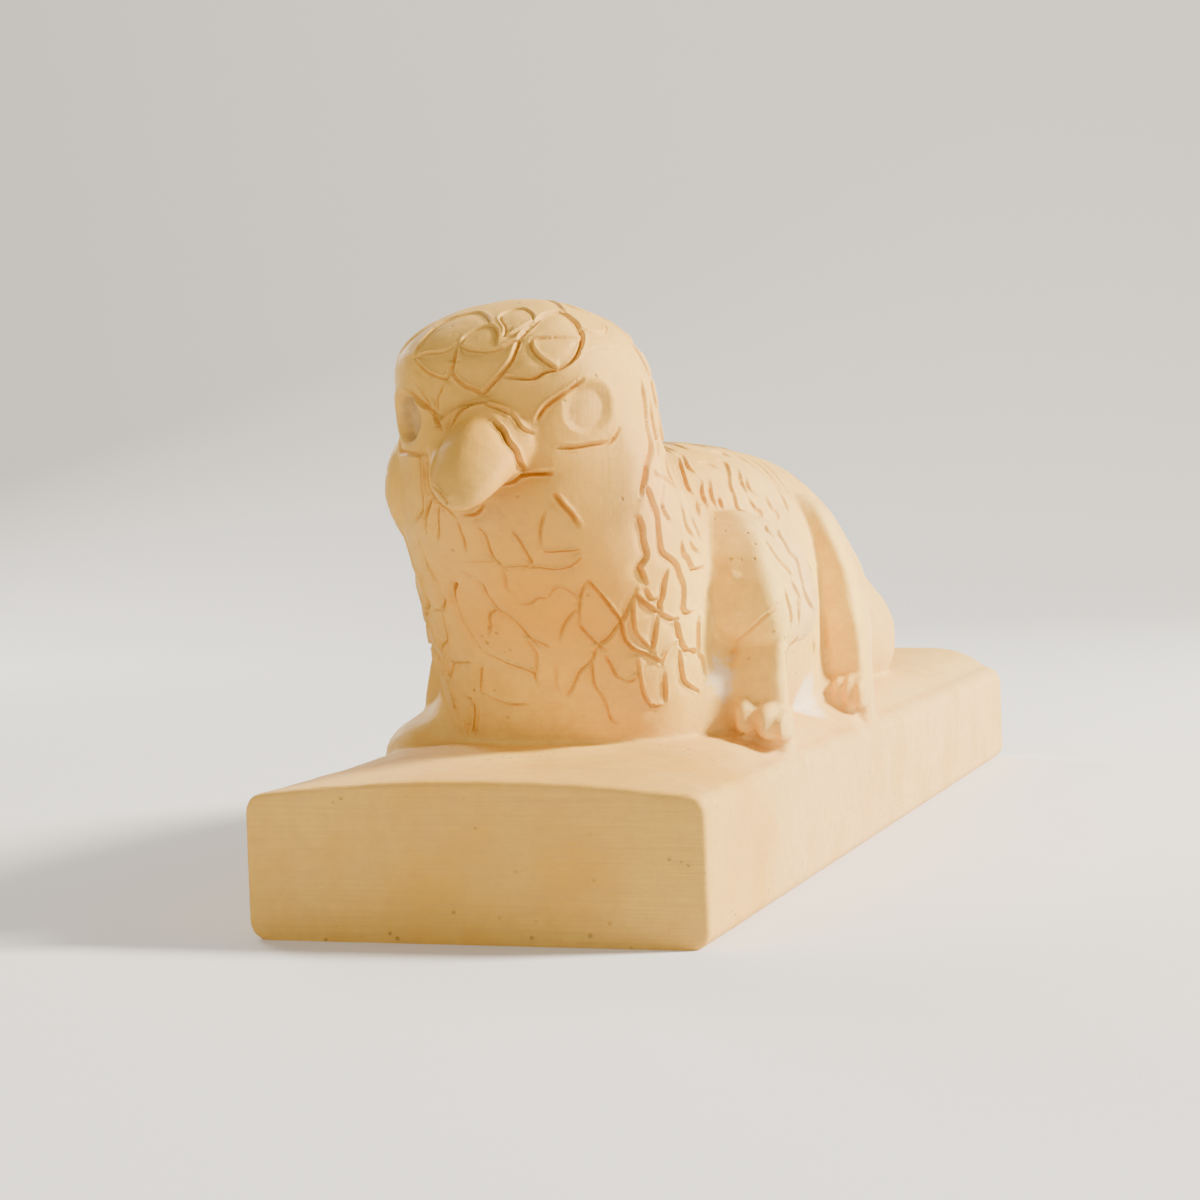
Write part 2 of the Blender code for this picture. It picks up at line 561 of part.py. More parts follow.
def cut_flat(mesh):
    """Cuts the underside off flat at the height of the origin."""
    bm = bmesh.new()
    bm.from_mesh(mesh)
    whole = bm.verts[:] + bm.edges[:] + bm.faces[:]
    bmesh.ops.bisect_plane(bm, geom=whole, dist=1e-7, plane_no=(0, 0, 1), clear_inner=True)
    bmesh.ops.contextual_create(bm, geom=[e for e in bm.edges if e.is_boundary])
    bm.to_mesh(mesh)
    bm.free()


class Skin:
    """The uncarved surface, on which drawn lines are laid."""

    def __init__(self, mesh):
        faces = [p.vertices[:] for p in mesh.polygons]
        self.tree = BVHTree.FromPolygons([v.co[:] for v in mesh.vertices], faces)

    def seen_from_head(self, turn, tilt):
        turn, tilt = math.radians(turn), math.radians(tilt)
        level = math.cos(tilt)
        ray = Vector((math.sin(turn) * level, -math.cos(turn) * level, math.sin(tilt)))
        return self.tree.ray_cast(spot(*HEAD_MIDDLE), ray)[0]

    def seen_from_chest(self, turn, up):
        turn = math.radians(turn)
        return self.tree.ray_cast(spot(0, CHEST_MIDDLE, up), Vector((math.sin(turn), -math.cos(turn), 0)))[0]

    def seen_from_torso(self, along, roll):
        roll = math.radians(roll)
        return self.tree.ray_cast(spot(0, along, TORSO_MIDDLE), Vector((math.cos(roll), 0, math.sin(roll))))[0]

    def seen_from_nape(self, turn, up):
        turn = math.radians(turn)
        return self.tree.ray_cast(spot(0, NAPE_MIDDLE, up), Vector((math.sin(turn), -math.cos(turn), 0)))[0]

    def beside(self, across, along, up):
        return self.tree.find_nearest(spot(across, along, up))[0]


def smooth_path(points, steps):
    """Points along a Catmull-Rom curve through drawn points."""
    p = [np.array(q, float) for q in points]
    p = [2 * p[0] - p[1]] + p + [2 * p[-1] - p[-2]]
    path = []
    for a, b, c, d in zip(p, p[1:], p[2:], p[3:]):
        for k in range(steps):
            t = k / steps
            bend = (3 * (b - c) + d - a) * t + 2 * a - 5 * b + 4 * c - d
            path.append(0.5 * ((bend * t + c - a) * t + 2 * b))
    return path + [p[-2]]


class Carving:
    """Everything that is cut into the skin, as dense points with a width and depth."""

    def __init__(self):
        self.places, self.widths, self.depths = [], [], []

    def add(self, lines, place_at, mirror=None):
        for width, depth, points in lines:
            self.add_line(width, depth, points, place_at)
            if mirror:
                self.add_line(width, depth, [mirror(*p) for p in points], place_at)

    def add_line(self, width, depth, points, place_at):
        laid = [p for p in (place_at(*q) for q in smooth_path(points, LINE_STEPS)) if p]
        leap = 14 / LINE_STEPS * UP
        laid = [p for p, before in zip(laid, laid[:1] + laid) if (p - before).length < leap]
        for i, place in enumerate(laid):
            end = min(i, len(laid) - 1 - i) / (LINE_STEPS * 0.6)
            self.places.append(place)
            self.widths.append(width)
            self.depths.append(depth * min(1, 0.35 + 0.65 * end))

    def near(self):
        tree = KDTree(len(self.places))
        for i, place in enumerate(self.places):
            tree.insert(place, i)
        tree.balance()
        return tree

    def depth_at(self, co):
        """How deep each point is cut, in millimetres, and how deep in a groove it lies."""
        tree = self.near()
        found = [tree.find(p)[1:] for p in co]
        index = np.array([i for i, _ in found])
        away = np.array([d for _, d in found]) / UP
        width = np.array(self.widths)[index] * LINE_SPREAD
        depth = np.array(self.depths)[index]
        groove = np.exp(-((away / width) ** 2))
        shoulder = np.exp(-((away / SHOULDER_REACH) ** 2))
        lip = np.exp(-(((away - 2.1 * width) / (0.7 * width)) ** 2))
        return depth * (groove + SHOULDER * shoulder - LIP * lip), depth * groove


def nape_scales():
    """Rows of rounded scales round the back of the head, as (turn, up)."""
    lines = []
    for row, up in enumerate((81, 75, 69, 63)):
        for k in range(9):
            turn = 104 + 19 * k - 9.5 * (row % 2)
            sway = 1.5 * math.sin(2.3 * k + 1.7 * row)
            arc = ((-9, 3.5), (-7.5, 0), (-4, -2.6), (0, -3.4), (4, -2.6), (7.5, 0), (9, 3.5))
            lines.append((0.8, 0.6, [(turn + sway + a, up + b) for a, b in arc]))
    return lines


def back_streaks():
    """Loose strokes from the spine down the left of the back, as (along, roll)."""
    lines = []
    for k in range(15):
        along = 74 + 7.5 * k
        lean = 3 * math.sin(1.9 * k)
        upper = [(along + 5, 88 - k % 3), (along + 4, 82), (along + 1 + lean, 76), (along - 2 + lean, 70)]
        lower = [(along + 3 + lean, 66), (along + lean, 58), (along - 3, 50), (along - 4, 42)]
        lines.append((0.8, 0.45 if k < 9 else 0.25, upper))
        if along > 112:
            lines.append((0.8, 0.3 if k < 9 else 0.15, lower))
    return lines


def carving_of(skin):
    """The drawn lines laid on the skin, on both sides where both sides carry them."""
    carving = Carving()
    carving.add(CROWN_LINES, skin.seen_from_head)
    carving.add(FACE_LINES, skin.seen_from_head)
    carving.add(FACE_SIDE_LINES, skin.seen_from_head, lambda turn, tilt: (-turn, tilt))
    carving.add(nape_scales(), skin.seen_from_nape)
    carving.add(CHEST_LINES, skin.seen_from_chest)
    carving.add(SCALE_LINES, skin.seen_from_chest, lambda turn, up: (-turn, up))
    carving.add(STREAK_LINES, skin.seen_from_torso, lambda along, roll: (along, 180 - roll))
    carving.add(back_streaks(), skin.seen_from_torso, lambda along, roll: (along, 180 - roll))
    carving.add(JOINT_LINES, skin.beside)
    return carving


def eye_cut(co):
    """Height that the eye sockets and their rims add, in millimetres."""
    rise = np.zeros(len(co))
    for side in (-1, 1):
        away = np.linalg.norm(co - np.array(spot(side * EYE[0], EYE[1], EYE[2])), axis=1) / UP / EYE_RADIUS
        bowl = np.clip((1.1 - away) / EYE_EDGE[side], 0, 1)
        bowl = bowl * bowl * (3 - 2 * bowl) - 0.3 * np.clip(1 - (away / 0.9) ** 2, 0, 1)
        rise += EYE_RIM * np.exp(-(((away - 1.2) / 0.2) ** 2)) - EYE_DEPTH[side] * bowl
    return rise


def carve(mesh, carving):
    co, normals = read_vertices(mesh, "co"), read_vertices(mesh, "normal")
    rise = eye_cut(co) - LINE_DEPTH * carving.depth_at(co)[0]
    write_positions(mesh, co + normals * (rise * UP)[:, None])


def clear_scene():
    for obj in list(bpy.data.objects):
        bpy.data.objects.remove(obj)


def plaster():
    material = bpy.data.materials.new("plaster")
    material.use_nodes = True
    shader = material.node_tree.nodes["Principled BSDF"]
    shader.inputs["Base Color"].default_value = PLASTER_COLOUR
    shader.inputs["Roughness"].default_value = 0.62
    return material


def main():
    clear_scene()
    skin = uncarved_skin()
    carve(skin, carving_of(Skin(skin)))
    skin = thinned(skin, KEPT_TRIANGLES)
    cut_flat(skin)
    skin.materials.append(plaster())
    statue = bpy.data.objects.new("statue", skin)
    bpy.context.scene.collection.objects.link(statue)


main()
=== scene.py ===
"""Finish and light for the falcon-headed beast lying on its plinth.

The cast is modelled afresh over its solid, finely enough for every carved line,
and takes the solid's place. Free forms are drawn in millimetres as (across,
along, up): across from the middle to the figure's left, which is +X, along from
the plinth's front face towards the tail, and up from the plinth's top edge.
"""

import math

import bmesh
import bpy
import numpy as np
from mathutils import Matrix, Vector, noise
from mathutils.bvhtree import BVHTree
from mathutils.kdtree import KDTree

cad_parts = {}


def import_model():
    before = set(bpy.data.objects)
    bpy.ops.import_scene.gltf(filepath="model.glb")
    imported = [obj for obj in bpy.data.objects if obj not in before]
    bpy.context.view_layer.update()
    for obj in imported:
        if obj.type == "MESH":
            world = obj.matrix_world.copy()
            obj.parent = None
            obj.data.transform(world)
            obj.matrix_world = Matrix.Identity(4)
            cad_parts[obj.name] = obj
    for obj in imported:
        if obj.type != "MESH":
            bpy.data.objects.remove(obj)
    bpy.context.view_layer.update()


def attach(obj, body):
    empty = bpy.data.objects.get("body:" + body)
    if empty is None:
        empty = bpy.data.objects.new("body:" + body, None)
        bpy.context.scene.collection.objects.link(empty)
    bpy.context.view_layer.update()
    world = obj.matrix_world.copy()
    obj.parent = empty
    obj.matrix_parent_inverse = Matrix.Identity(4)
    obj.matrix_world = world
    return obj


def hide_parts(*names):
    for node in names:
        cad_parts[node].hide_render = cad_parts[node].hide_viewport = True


# Sizes of the cast, in metres
PLINTH_LENGTH = 0.304
PLINTH_WIDTH = 0.082
PLINTH_HEIGHT = 0.0258
FIGURE_LENGTH = 0.298
FIGURE_WIDTH = 0.080
FIGURE_HEIGHT = 0.0866

# The figure is drawn 80 across, 298 along and 86.6 up
ACROSS = FIGURE_WIDTH / 80
ALONG = FIGURE_LENGTH / 298
UP = FIGURE_HEIGHT / 86.6

# Plinth finish, in metres
PLINTH_CROWN_FRONT = 0.0023
PLINTH_CROWN_REAR = 0.0057
PLINTH_FLARE = 0.0024
EDGE_RADIUS_FRONT = 0.0030
EDGE_RADIUS_REAR = 0.0045
FOOT_RADIUS = 0.0030
UNDERSIDE_TRIM = 0.0030

# How finely the forms are fused, and how many triangles are kept
MASS_VOXEL = 0.0022
SKIN_VOXEL = 0.0006
RING_POINTS = 40
KEPT_TRIANGLES = 190000

# Torso and tail: (along, half width, ridge height, height of the widest line)
TORSO = (
    (45, 21, 42, 22),
    (60, 27, 55, 24),
    (80, 31, 60.5, 25),
    (100, 33.5, 61.8, 25),
    (115, 33.2, 61.8, 25),
    (127, 31, 61.5, 25),
    (142, 30, 61, 25),
    (160, 29, 60, 24),
    (178, 28, 56.5, 23),
    (196, 26.5, 48.5, 20),
    (212, 25, 39, 17),
    (228, 22, 31, 14),
    (242, 17.5, 24, 10),
    (262, 12, 16.5, 5),
    (282, 8.5, 12, 3),
    (297, 5, 8.5, 2),
)
TORSO_FOOT = -9
TORSO_FULLNESS = 2.35

# Chest and head, from the foot up:
# (up, front, line of greatest width, back, width to the right, width to the left)
COLUMN = (
    (-8, 45, 66, 90, 25, 25),
    (4, 42, 64, 92, 26.5, 26),
    (12, 38.5, 62, 94, 27.6, 26.5),
    (24, 32, 58, 94, 28, 27),
    (34, 24, 54, 92, 27.2, 26.5),
    (42, 16.5, 48, 86, 25.8, 26),
    (48, 12.5, 42, 80, 25.4, 25),
    (54, 11.8, 37, 74, 24, 23),
    (58, 12, 35, 70, 23.2, 22.6),
    (64, 12.5, 34, 67, 22.8, 22.6),
    (68, 12, 34, 66, 22.8, 22.4),
    (72, 12, 34, 65, 23.6, 22),
    (76, 13.5, 34, 63, 24, 20.6),
    (79, 16, 35, 60, 22.9, 18.2),
    (82, 20, 36, 56, 19.6, 14.6),
    (85, 26.5, 37, 48, 13, 9),
    (86.4, 32, 38, 43, 7, 4),
)
FRONT_FULLNESS = 2.6
BACK_FULLNESS = 2.15

# Beak, from the tip back: (along, low, high, width to the right, width to the left)
BEAK = (
    (0.0, 48.2, 51.0, 1.8, 1.8),
    (1.2, 47.8, 54.2, 4.0, 4.0),
    (3.0, 48.4, 57.2, 5.8, 5.8),
    (5.5, 49.6, 60.2, 7.0, 6.9),
    (8.5, 51.0, 62.8, 7.9, 8.0),
    (10.6, 51.8, 64.4, 8.3, 8.6),
    (11.4, 52.2, 67.2, 9.9, 9.4),
    (16, 53.0, 70.0, 11, 11),
    (24, 53.0, 71.0, 12, 12),
)
BEAK_AXIS = -1.2
BEAK_FULLNESS = 2.1
BEAK_RIDGE = 1.55

# Limbs, from the foot up: (up, inner side, outer side, front, back); the sides are
# measured at the front of the limb
UPPER_ARM = (
    (20.5, 28.5, 38.5, 62, 84),
    (23, 26.5, 40, 57.5, 88),
    (27, 25, 40.8, 55.5, 90),
    (33, 24, 39.6, 56.5, 91),
    (39, 23, 36.8, 60, 90),
    (43.5, 21.5, 33, 65.5, 87),
    (46.5, 20, 28, 71, 83),
)
FOREARM = (
    (-3, 23.5, 40.8, 61, 82),
    (4, 24, 40.6, 60.5, 82),
    (9, 25, 40.6, 59.5, 82),
    (13, 26.5, 40.6, 58.5, 82),
    (20, 29.5, 40.4, 60, 83),
    (27, 30, 39.5, 61.5, 84),
)
HIND_LEG = (
    (-3, 28.5, 41, 130, 150),
    (4, 29, 41, 129.5, 152),
    (9, 31, 41, 128, 156),
    (12.5, 31.5, 41, 126.5, 160),
    (20, 31.5, 40.8, 126, 172),
    (28, 30, 39.6, 126, 182),
    (33, 29, 38.6, 126, 178),
    (37, 27.5, 37, 126, 169),
    (42, 26, 34.5, 127, 163),
    (46.5, 24, 31.5, 129, 156),
    (49.5, 21, 26.5, 133, 148),
)
LIMB_FULLNESS = 6
HIND_LEG_TAPER = 0.17
FOREARM_TAPER = 0.25
# How far the right arm is set in from where the left one stands, and how much more
# for each millimetre up
RIGHT_UPPER_INSET = 9.5
RIGHT_FOREARM_INSET = 4.2
RIGHT_FOREARM_LEAN = 0.16

# Toes of the paws, from the inner one out: (across, half width, foot, top)
FRONT_TOES = (
    (27.4, 2.9, 4.6, 12.2),
    (32.3, 2.2, 4, 11.5),
    (36.6, 2.2, 3.4, 10.2),
    (39.7, 1.3, 3, 8.8),
)
FRONT_TOE_TIP = 54.5
HIND_TOES = (
    (32.4, 1.4, 3.4, 10.5),
    (34.9, 1.3, 3.3, 10.8),
    (37.3, 1.3, 3.3, 10.7),
    (39.6, 1.25, 3.3, 10.3),
)
HIND_TOE_TIP = 123

# Plates on the crown, as (turn, tilt) seen from the middle of the head
CROWN_LINES = (
    (0.8, 0.7, ((-16, 43), (-15, 35), (-15, 31), (-10, 27), (-4, 25), (-1, 24), (3, 27), (8, 31),
        (12, 35), (14, 40), (16, 45), (23, 54))),
    (0.6, 0.4, ((-15, 42), (-9, 40), (2, 39), (7, 40), (11, 42), (16, 44))),
    (0.6, 0.4, ((-15, 42), (-14, 47), (-8, 51), (-2, 52), (3, 48), (4, 42))),
    (0.6, 0.4, ((7, 45), (7, 50), (0, 59), (5, 64), (15, 65), (22, 60), (23, 54))),
    (0.6, 0.4, ((7, 45), (11, 46), (17, 50), (23, 54))),
    (0.6, 0.4, ((-34, 49), (-36, 43), (-36, 39), (-38, 36), (-31, 38), (-22, 39), (-16, 43))),
    (0.6, 0.5, ((-38, 36), (-30, 32), (-24, 30), (-19, 29), (-17, 30), (-15, 35))),
    (0.6, 0.5, ((-19, 28), (-20, 25), (-22, 22), (-22, 18))),
    (0.6, 0.4, ((-38, 36), (-39, 43), (-41, 53), (-35, 59), (-24, 63), (-10, 59), (-4, 54))),
    (0.6, 0.3, ((-57, 38), (-52, 44), (-52, 52), (-54, 60))),
    (0.8, 0.7, ((16, 44), (26, 55), (33, 59), (44, 61), (48, 55), (48, 49), (46, 43), (42, 37),
        (38, 33), (32, 30), (26, 29), (20, 27), (9, 29))),
    (0.6, 0.4, ((21, 43), (30, 43), (45, 43))),
    (0.7, 0.6, ((21, 43), (21, 39), (24, 35), (28, 32), (31, 30))),
    (0.6, 0.4, ((48, 49), (53, 47), (64, 48), (76, 53), (82, 57), (75, 61), (66, 64))),
    (0.6, 0.4, ((73, 82), (56, 72), (48, 61))),
    (0.6, 0.3, ((72, 75), (75, 67), (85, 61))),
    (0.6, 0.2, ((44, 36), (54, 39), (68, 41), (85, 41))),
)
# Beak, mouth, brow and cheek lines, as (turn, tilt)
FACE_LINES = (
    (0.7, 0.5, ((11, 16), (14, 12), (16, 9), (20, 7))),
    (0.8, 1, ((5, 12), (9, 8), (11, 4), (14, 0), (15, -4), (16, -7))),
    (0.8, 0.7, ((1, 20), (-5, 19), (-10, 16), (-12, 12), (-14, 7), (-15, 3), (-14, -2), (-14, -5),
        (-12, -9))),
    (0.8, 0.7, ((2, 19), (8, 17), (11, 15))),
    (0.8, 0.8, ((-15, -25), (-8, -25), (-3, -21))),
    (0.8, 1, ((7, -12), (6, -13), (11, -12), (14, -10), (18, -9), (23, -9), (27, -9))),
    (0.8, 0.9, ((23, -43), (28, -43), (33, -42), (38, -41), (41, -40))),
    (0.8, 0.9, ((14, -53), (20, -52), (27, -52), (34, -51), (40, -48), (43, -44))),
    (0.7, 0.5, ((24, -24), (22, -32), (22, -40))),
    (0.9, 0.9, ((-34, 3), (-33, -3), (-33, -12), (-33, -17), (-36, -22), (-43, -25))),
    (0.8, 0.7, ((-27, 18), (-23, 15), (-17, 10))),
    (0.7, 0.5, ((-35, 28), (-29, 23), (-25, 19))),
    (0.7, 0.6, ((-11, -9), (-7, -11), (-3, -15))),
    (0.8, 0.8, ((0, 21), (-6, 20), (-12, 18), (-19, 13), (-25, 6), (-28, -2), (-29, -9), (-27, -15),
        (-21, -22), (-18, -26))),
    (2, 0.9, ((-77, 7), (-75, -5), (-75, -15), (-77, -26))),
    (2, 0.9, ((-69, 4), (-67, -6), (-67, -15), (-70, -24))),
    (0.4, 0.3, ((84, 36), (90, 31))),
    (0.4, 0.3, ((83, 32), (91, 36))),
    (0.4, 0.3, ((87, 38), (87, 30))),
)
# Brow, eyelid, cheek and face edge on the left, which the right carries too
FACE_SIDE_LINES = (
    (0.9, 0.8, ((22, 13), (25, 17), (30, 20), (36, 23), (41, 26))),
    (0.9, 0.6, ((30, 1), (37, 1), (45, 2), (52, 3), (57, 8))),
    (0.9, 0.9, ((28, -17), (31, -21), (35, -25), (39, -30))),
    (1, 0.8, ((85, 30), (85, 22), (82, 11), (75, 1), (67, -6), (65, -11), (63, -17))),
)
# Scales and lozenges on the chest, as (turn, up) seen from the middle of the chest
CHEST_LINES = (
    (0.8, 0.8, ((-25, 43), (-26, 41), (-27, 39), (-29, 37))),
    (0.7, 0.6, ((-33, 37), (-36, 35), (-38, 33), (-39, 31))),
    (0.8, 1, ((-26, 40), (-26, 38), (-26, 36), (-27, 35), (-27, 33), (-28, 32), (-30, 31), (-33, 30))),
    (0.7, 0.5, ((-40, 30), (-36, 30), (-33, 30))),
    (0.7, 0.6, ((-33, 30), (-35, 28), (-37, 26), (-40, 24), (-45, 23), (-46, 21), (-43, 20), (-37, 20),
        (-33, 20))),
    (0.7, 0.7, ((-43, 31), (-46, 29), (-47, 27), (-49, 25))),
    (0.8, 1.1, ((-62, 22), (-58, 20), (-57, 18), (-55, 16), (-55, 14), (-56, 11), (-55, 9), (-56, 7))),
    (0.7, 0.8, ((-48, 21), (-51, 19), (-51, 17), (-52, 16))),
    (0.7, 0.7, ((-67, 18), (-67, 15), (-66, 13), (-65, 11), (-63, 9), (-61, 7))),
    (0.7, 0.5, ((-42, 20), (-47, 18), (-53, 16))),
    (0.8, 0.9, ((-47, 14), (-45, 13), (-42, 13), (-43, 11), (-48, 8), (-52, 6))),
    (0.7, 0.8, ((-28, 19), (-31, 17), (-35, 14))),
    (0.8, 0.8, ((-34, 14), (-29, 13), (-21, 12), (-12, 12))),
    (0.8, 1.1, ((-14, 37), (-12, 36), (-10, 35), (-10, 33), (-9, 31), (-8, 30), (-6, 29), (-3, 27),
        (-1, 25), (2, 24), (6, 23))),
    (0.8, 1.1, ((-19, 35), (-21, 34), (-23, 32), (-24, 30), (-25, 28), (-25, 26), (-24, 23), (-23, 22),
        (-19, 21), (-15, 20), (-9, 19), (-4, 18), (-3, 16))),
    (0.7, 0.6, ((-9, 30), (-13, 29), (-15, 27), (-18, 25))),
    (0.7, 0.8, ((-13, 49), (-14, 47), (-15, 45), (-17, 43))),
    (0.7, 0.8, ((-9, 46), (-9, 44), (-9, 43), (-10, 41))),
    (0.7, 0.8, ((-4, 45), (-3, 44), (-3, 42), (-3, 40), (-2, 39), (-1, 38), (2, 38), (6, 38))),
    (0.7, 0.7, ((4, 44), (5, 43), (6, 41), (7, 39), (7, 38))),
    (0.9, 0.4, ((-2, 38), (-2, 36), (-3, 34), (-1, 33))),
    (0.7, 0.4, ((-12, 39), (-9, 39), (-5, 39), (-3, 39))),
    (0.7, 0.5, ((-1, 31), (3, 31), (6, 32), (9, 32))),
    (0.8, 0.5, ((-2, 24), (-1, 23), (0, 21), (-3, 17))),
    (0.8, 0.9, ((22, 35), (25, 33), (28, 31), (31, 29), (34, 27), (36, 24), (40, 22), (45, 21),
        (50, 20), (53, 19))),
    (0.8, 0.8, ((19, 27), (22, 25), (26, 23), (29, 22))),
    (0.7, 0.7, ((38, 33), (36, 29), (34, 27), (30, 24), (26, 23))),
    (0.7, 0.6, ((26, 23), (24, 20), (19, 18), (15, 15), (11, 13))),
    (0.7, 0.6, ((24, 21), (25, 16), (28, 14), (31, 12), (34, 9), (38, 8))),
    (0.8, 0.7, ((29, 21), (32, 19), (35, 17), (40, 16), (44, 17))),
    (0.7, 0.5, ((19, 30), (14, 27), (11, 24))),
    (0.7, 0.6, ((42, 20), (45, 16), (48, 13), (52, 11), (56, 11))),
    (0.7, 0.4, ((8, 19), (7, 16), (8, 14))),
    (0.7, 0.6, ((37, 32), (38, 28), (40, 25), (44, 23), (49, 21))),
    (0.7, 0.5, ((22, 35), (20, 32), (19, 27))),
    (0.7, 0.5, ((9, 32), (13, 34), (17, 33), (20, 31))),
)
# Scales on the left of the neck and shoulder, as (turn, up)
SCALE_LINES = (
    (0.7, 0.5, ((53, 62), (54, 60), (52, 57), (51, 54), (52, 53))),
    (0.7, 0.5, ((40, 54), (43, 53), (53, 53), (62, 52), (72, 51))),
    (0.9, 0.9, ((37, 51), (38, 50), (40, 48), (43, 46), (44, 44), (45, 42), (46, 40), (48, 39),
        (52, 38), (55, 37), (58, 35), (61, 33), (61, 30), (61, 29), (64, 28), (71, 28), (77, 29),
        (81, 30))),
    (0.9, 0.9, ((35, 46), (37, 44), (38, 42), (40, 39), (38, 37), (39, 36), (41, 34))),
    (0.9, 0.8, ((38, 32), (40, 31), (43, 30), (46, 29), (50, 28), (55, 27), (58, 27))),
    (0.8, 0.8, ((50, 36), (49, 34), (49, 32), (48, 30), (49, 29))),
    (0.8, 0.6, ((41, 33), (44, 31), (46, 31))),
    (0.9, 0.9, ((60, 41), (61, 39), (65, 38), (70, 36), (79, 36), (83, 36))),
    (0.7, 0.6, ((50, 52), (48, 50), (46, 48), (50, 46), (53, 45))),
    (0.9, 0.8, ((57, 27), (59, 25), (61, 23), (65, 21), (69, 21), (74, 20))),
    (0.8, 0.8, ((75, 27), (74, 25), (74, 23), (74, 20))),
    (0.8, 0.6, ((48, 28), (48, 25), (48, 23), (47, 21))),
    (0.8, 0.7, ((53, 19), (54, 21), (56, 22), (60, 23))),
    (0.8, 0.7, ((61, 21), (64, 17), (67, 15), (76, 13))),
    (0.8, 0.6, ((55, 17), (57, 14), (58, 12))),
    (0.8, 0.6, ((74, 20), (78, 19), (80, 16))),
)
# Streaks hanging down the left shoulder and flank, as (along, roll)
STREAK_LINES = (
    (0.7, 0.6, ((49, 57), (47, 53), (47, 50), (50, 48))),
    (0.7, 0.6, ((80, 66), (75, 61), (70, 54), (69, 51))),
    (0.7, 0.6, ((84, 67), (78, 61), (77, 58))),
    (0.7, 0.6, ((48, 44), (47, 40), (47, 37), (49, 35), (52, 33))),
    (0.7, 0.6, ((54, 42), (55, 39), (56, 36), (57, 32))),
    (0.7, 0.6, ((68, 48), (66, 45), (64, 42))),
    (0.7, 0.6, ((76, 54), (72, 49), (70, 44))),
    (0.7, 0.6, ((79, 53), (75, 48), (73, 43))),
    (0.7, 0.6, ((84, 61), (88, 60), (89, 57))),
    (0.7, 0.6, ((94, 60), (96, 58), (92, 54), (86, 49), (83, 44), (82, 42), (80, 38))),
    (0.7, 0.6, ((77, 46), (76, 44), (75, 42))),
    (0.7, 0.6, ((98, 54), (93, 49), (91, 45))),
    (0.7, 0.6, ((90, 43), (90, 39), (91, 36), (75, 29), (73, 25))),
    (0.7, 0.6, ((100, 42), (99, 38), (100, 34), (81, 27), (78, 23), (77, 19), (79, 17), (77, 12),
        (76, 8), (78, 5), (82, 2))),
    (0.7, 0.6, ((66, 24), (65, 20), (66, 17), (69, 14), (69, 12))),
    (0.7, 0.6, ((116, 46), (113, 40), (111, 36))),
    (0.7, 0.6, ((62, 9), (62, 6), (63, 2), (64, -1))),
    (0.7, 0.6, ((70, 7), (69, 3), (70, -1))),
    (0.7, 0.6, ((73, -5), (74, -9), (75, -12))),
    (0.7, 0.6, ((101, 66), (107, 65), (107, 62))),
    (0.7, 0.6, ((68, 11), (70, 8), (71, 4))),
    (0.7, 0.6, ((111, 18), (114, 13), (117, 7))),
    (0.7, 0.6, ((65, -7), (65, -11), (64, -15))),
    (0.7, 0.6, ((113, -11), (115, -15), (113, -19))),
    (0.7, 0.6, ((97, 50), (94, 46), (95, 43))),
    (0.7, 0.6, ((48, 32), (50, 30), (53, 28))),
)
# Crease at the left elbow, from points beside it
JOINT_LINES = (
    (0.9, 0.5, ((29.5, 60, 20.5), (32, 58, 22.5), (34.5, 57, 24.5), (37, 56.5, 26.5), (39, 57, 28),
        (40.5, 60, 29.5))),
)

# Where the drawn lines are seen from, in millimetres
HEAD_MIDDLE = (0, 36, 58)
CHEST_MIDDLE = 58
NAPE_MIDDLE = 40
TORSO_MIDDLE = 25

# How lines are cut: steps between drawn points, the gap in millimetres between two of
# them that breaks a line, width and depth against the drawn ones, how much the shoulders
# sink and the lips stand up, and how much one side stands over the other
LINE_STEPS = 14
LINE_GAP = 1
LINE_SPREAD = 0.33
LINE_DEPTH = 1.35
SHOULDER = 0.26
SHOULDER_REACH = 2.1
LIP = 0.24
STEP = 0.34
STEP_REACH = 1.3

# Passes that fillet the fused skin, how near a line its faces are split, in
# millimetres, one pass after the other, and the soft unevenness left by the hand, as
# (height in millimetres, waves a metre)
RELAX_PASSES = 3
REFINE_REACHES = (1.5, 0.8)
UNEVENNESS = ((0.22, 105), (0.09, 290))

# Eye sockets: centre on the left side and radius, in millimetres; depth and softness
# of the edge, for the left side (1) and the right (-1); rim height, and the direction
# and strength of the slant
EYE = (16.7, 18, 65.1)
EYE_RADIUS = 4.1
EYE_DEPTH = {1: 0.9, -1: 2.4}
EYE_EDGE = {1: 0.42, -1: 0.25}
EYE_RIM = 0.2
EYE_SLANT = (0.62, 0.42, 0.66)
EYE_STRETCH = 0.24

# Pimples left by the mould, in millimetres: (place, reach, height)
PIMPLES = (((31.2, 56.6, 34.5), 0.9, 0.9), ((33.5, 62, 12), 0.6, 0.4), ((24, 47, 41), 0.6, 0.5))

# Colours of the plaster's finish, and of the light and shade painted on it
CREAM = (0.79, 0.48, 0.095, 1)
CREAM_DEEP = (0.74, 0.43, 0.07, 1)
# painted light: the paler colour of the side that faces the key light
PAINTED_LIT_SIDE = (0.85, 0.59, 0.24, 1)
YELLOW = (0.71, 0.355, 0.022, 1)
PINK = (0.82, 0.44, 0.15, 1)
FACE_TONE = (0.66, 0.315, 0.026, 1)
# painted light: the lighter colour put on the shaded fronts of the limbs and low on the chest
LIMB_FRONT_PAINTED_LIGHT = (0.98, 0.68, 0.12, 1)
SOIL = (0.42, 0.21, 0.07, 1)
MOTTLE = (0.58, 0.30, 0.07, 1)
STREAK = (0.62, 0.34, 0.085, 1)
FRESH_WHITE = (0.87, 0.75, 0.57, 1)
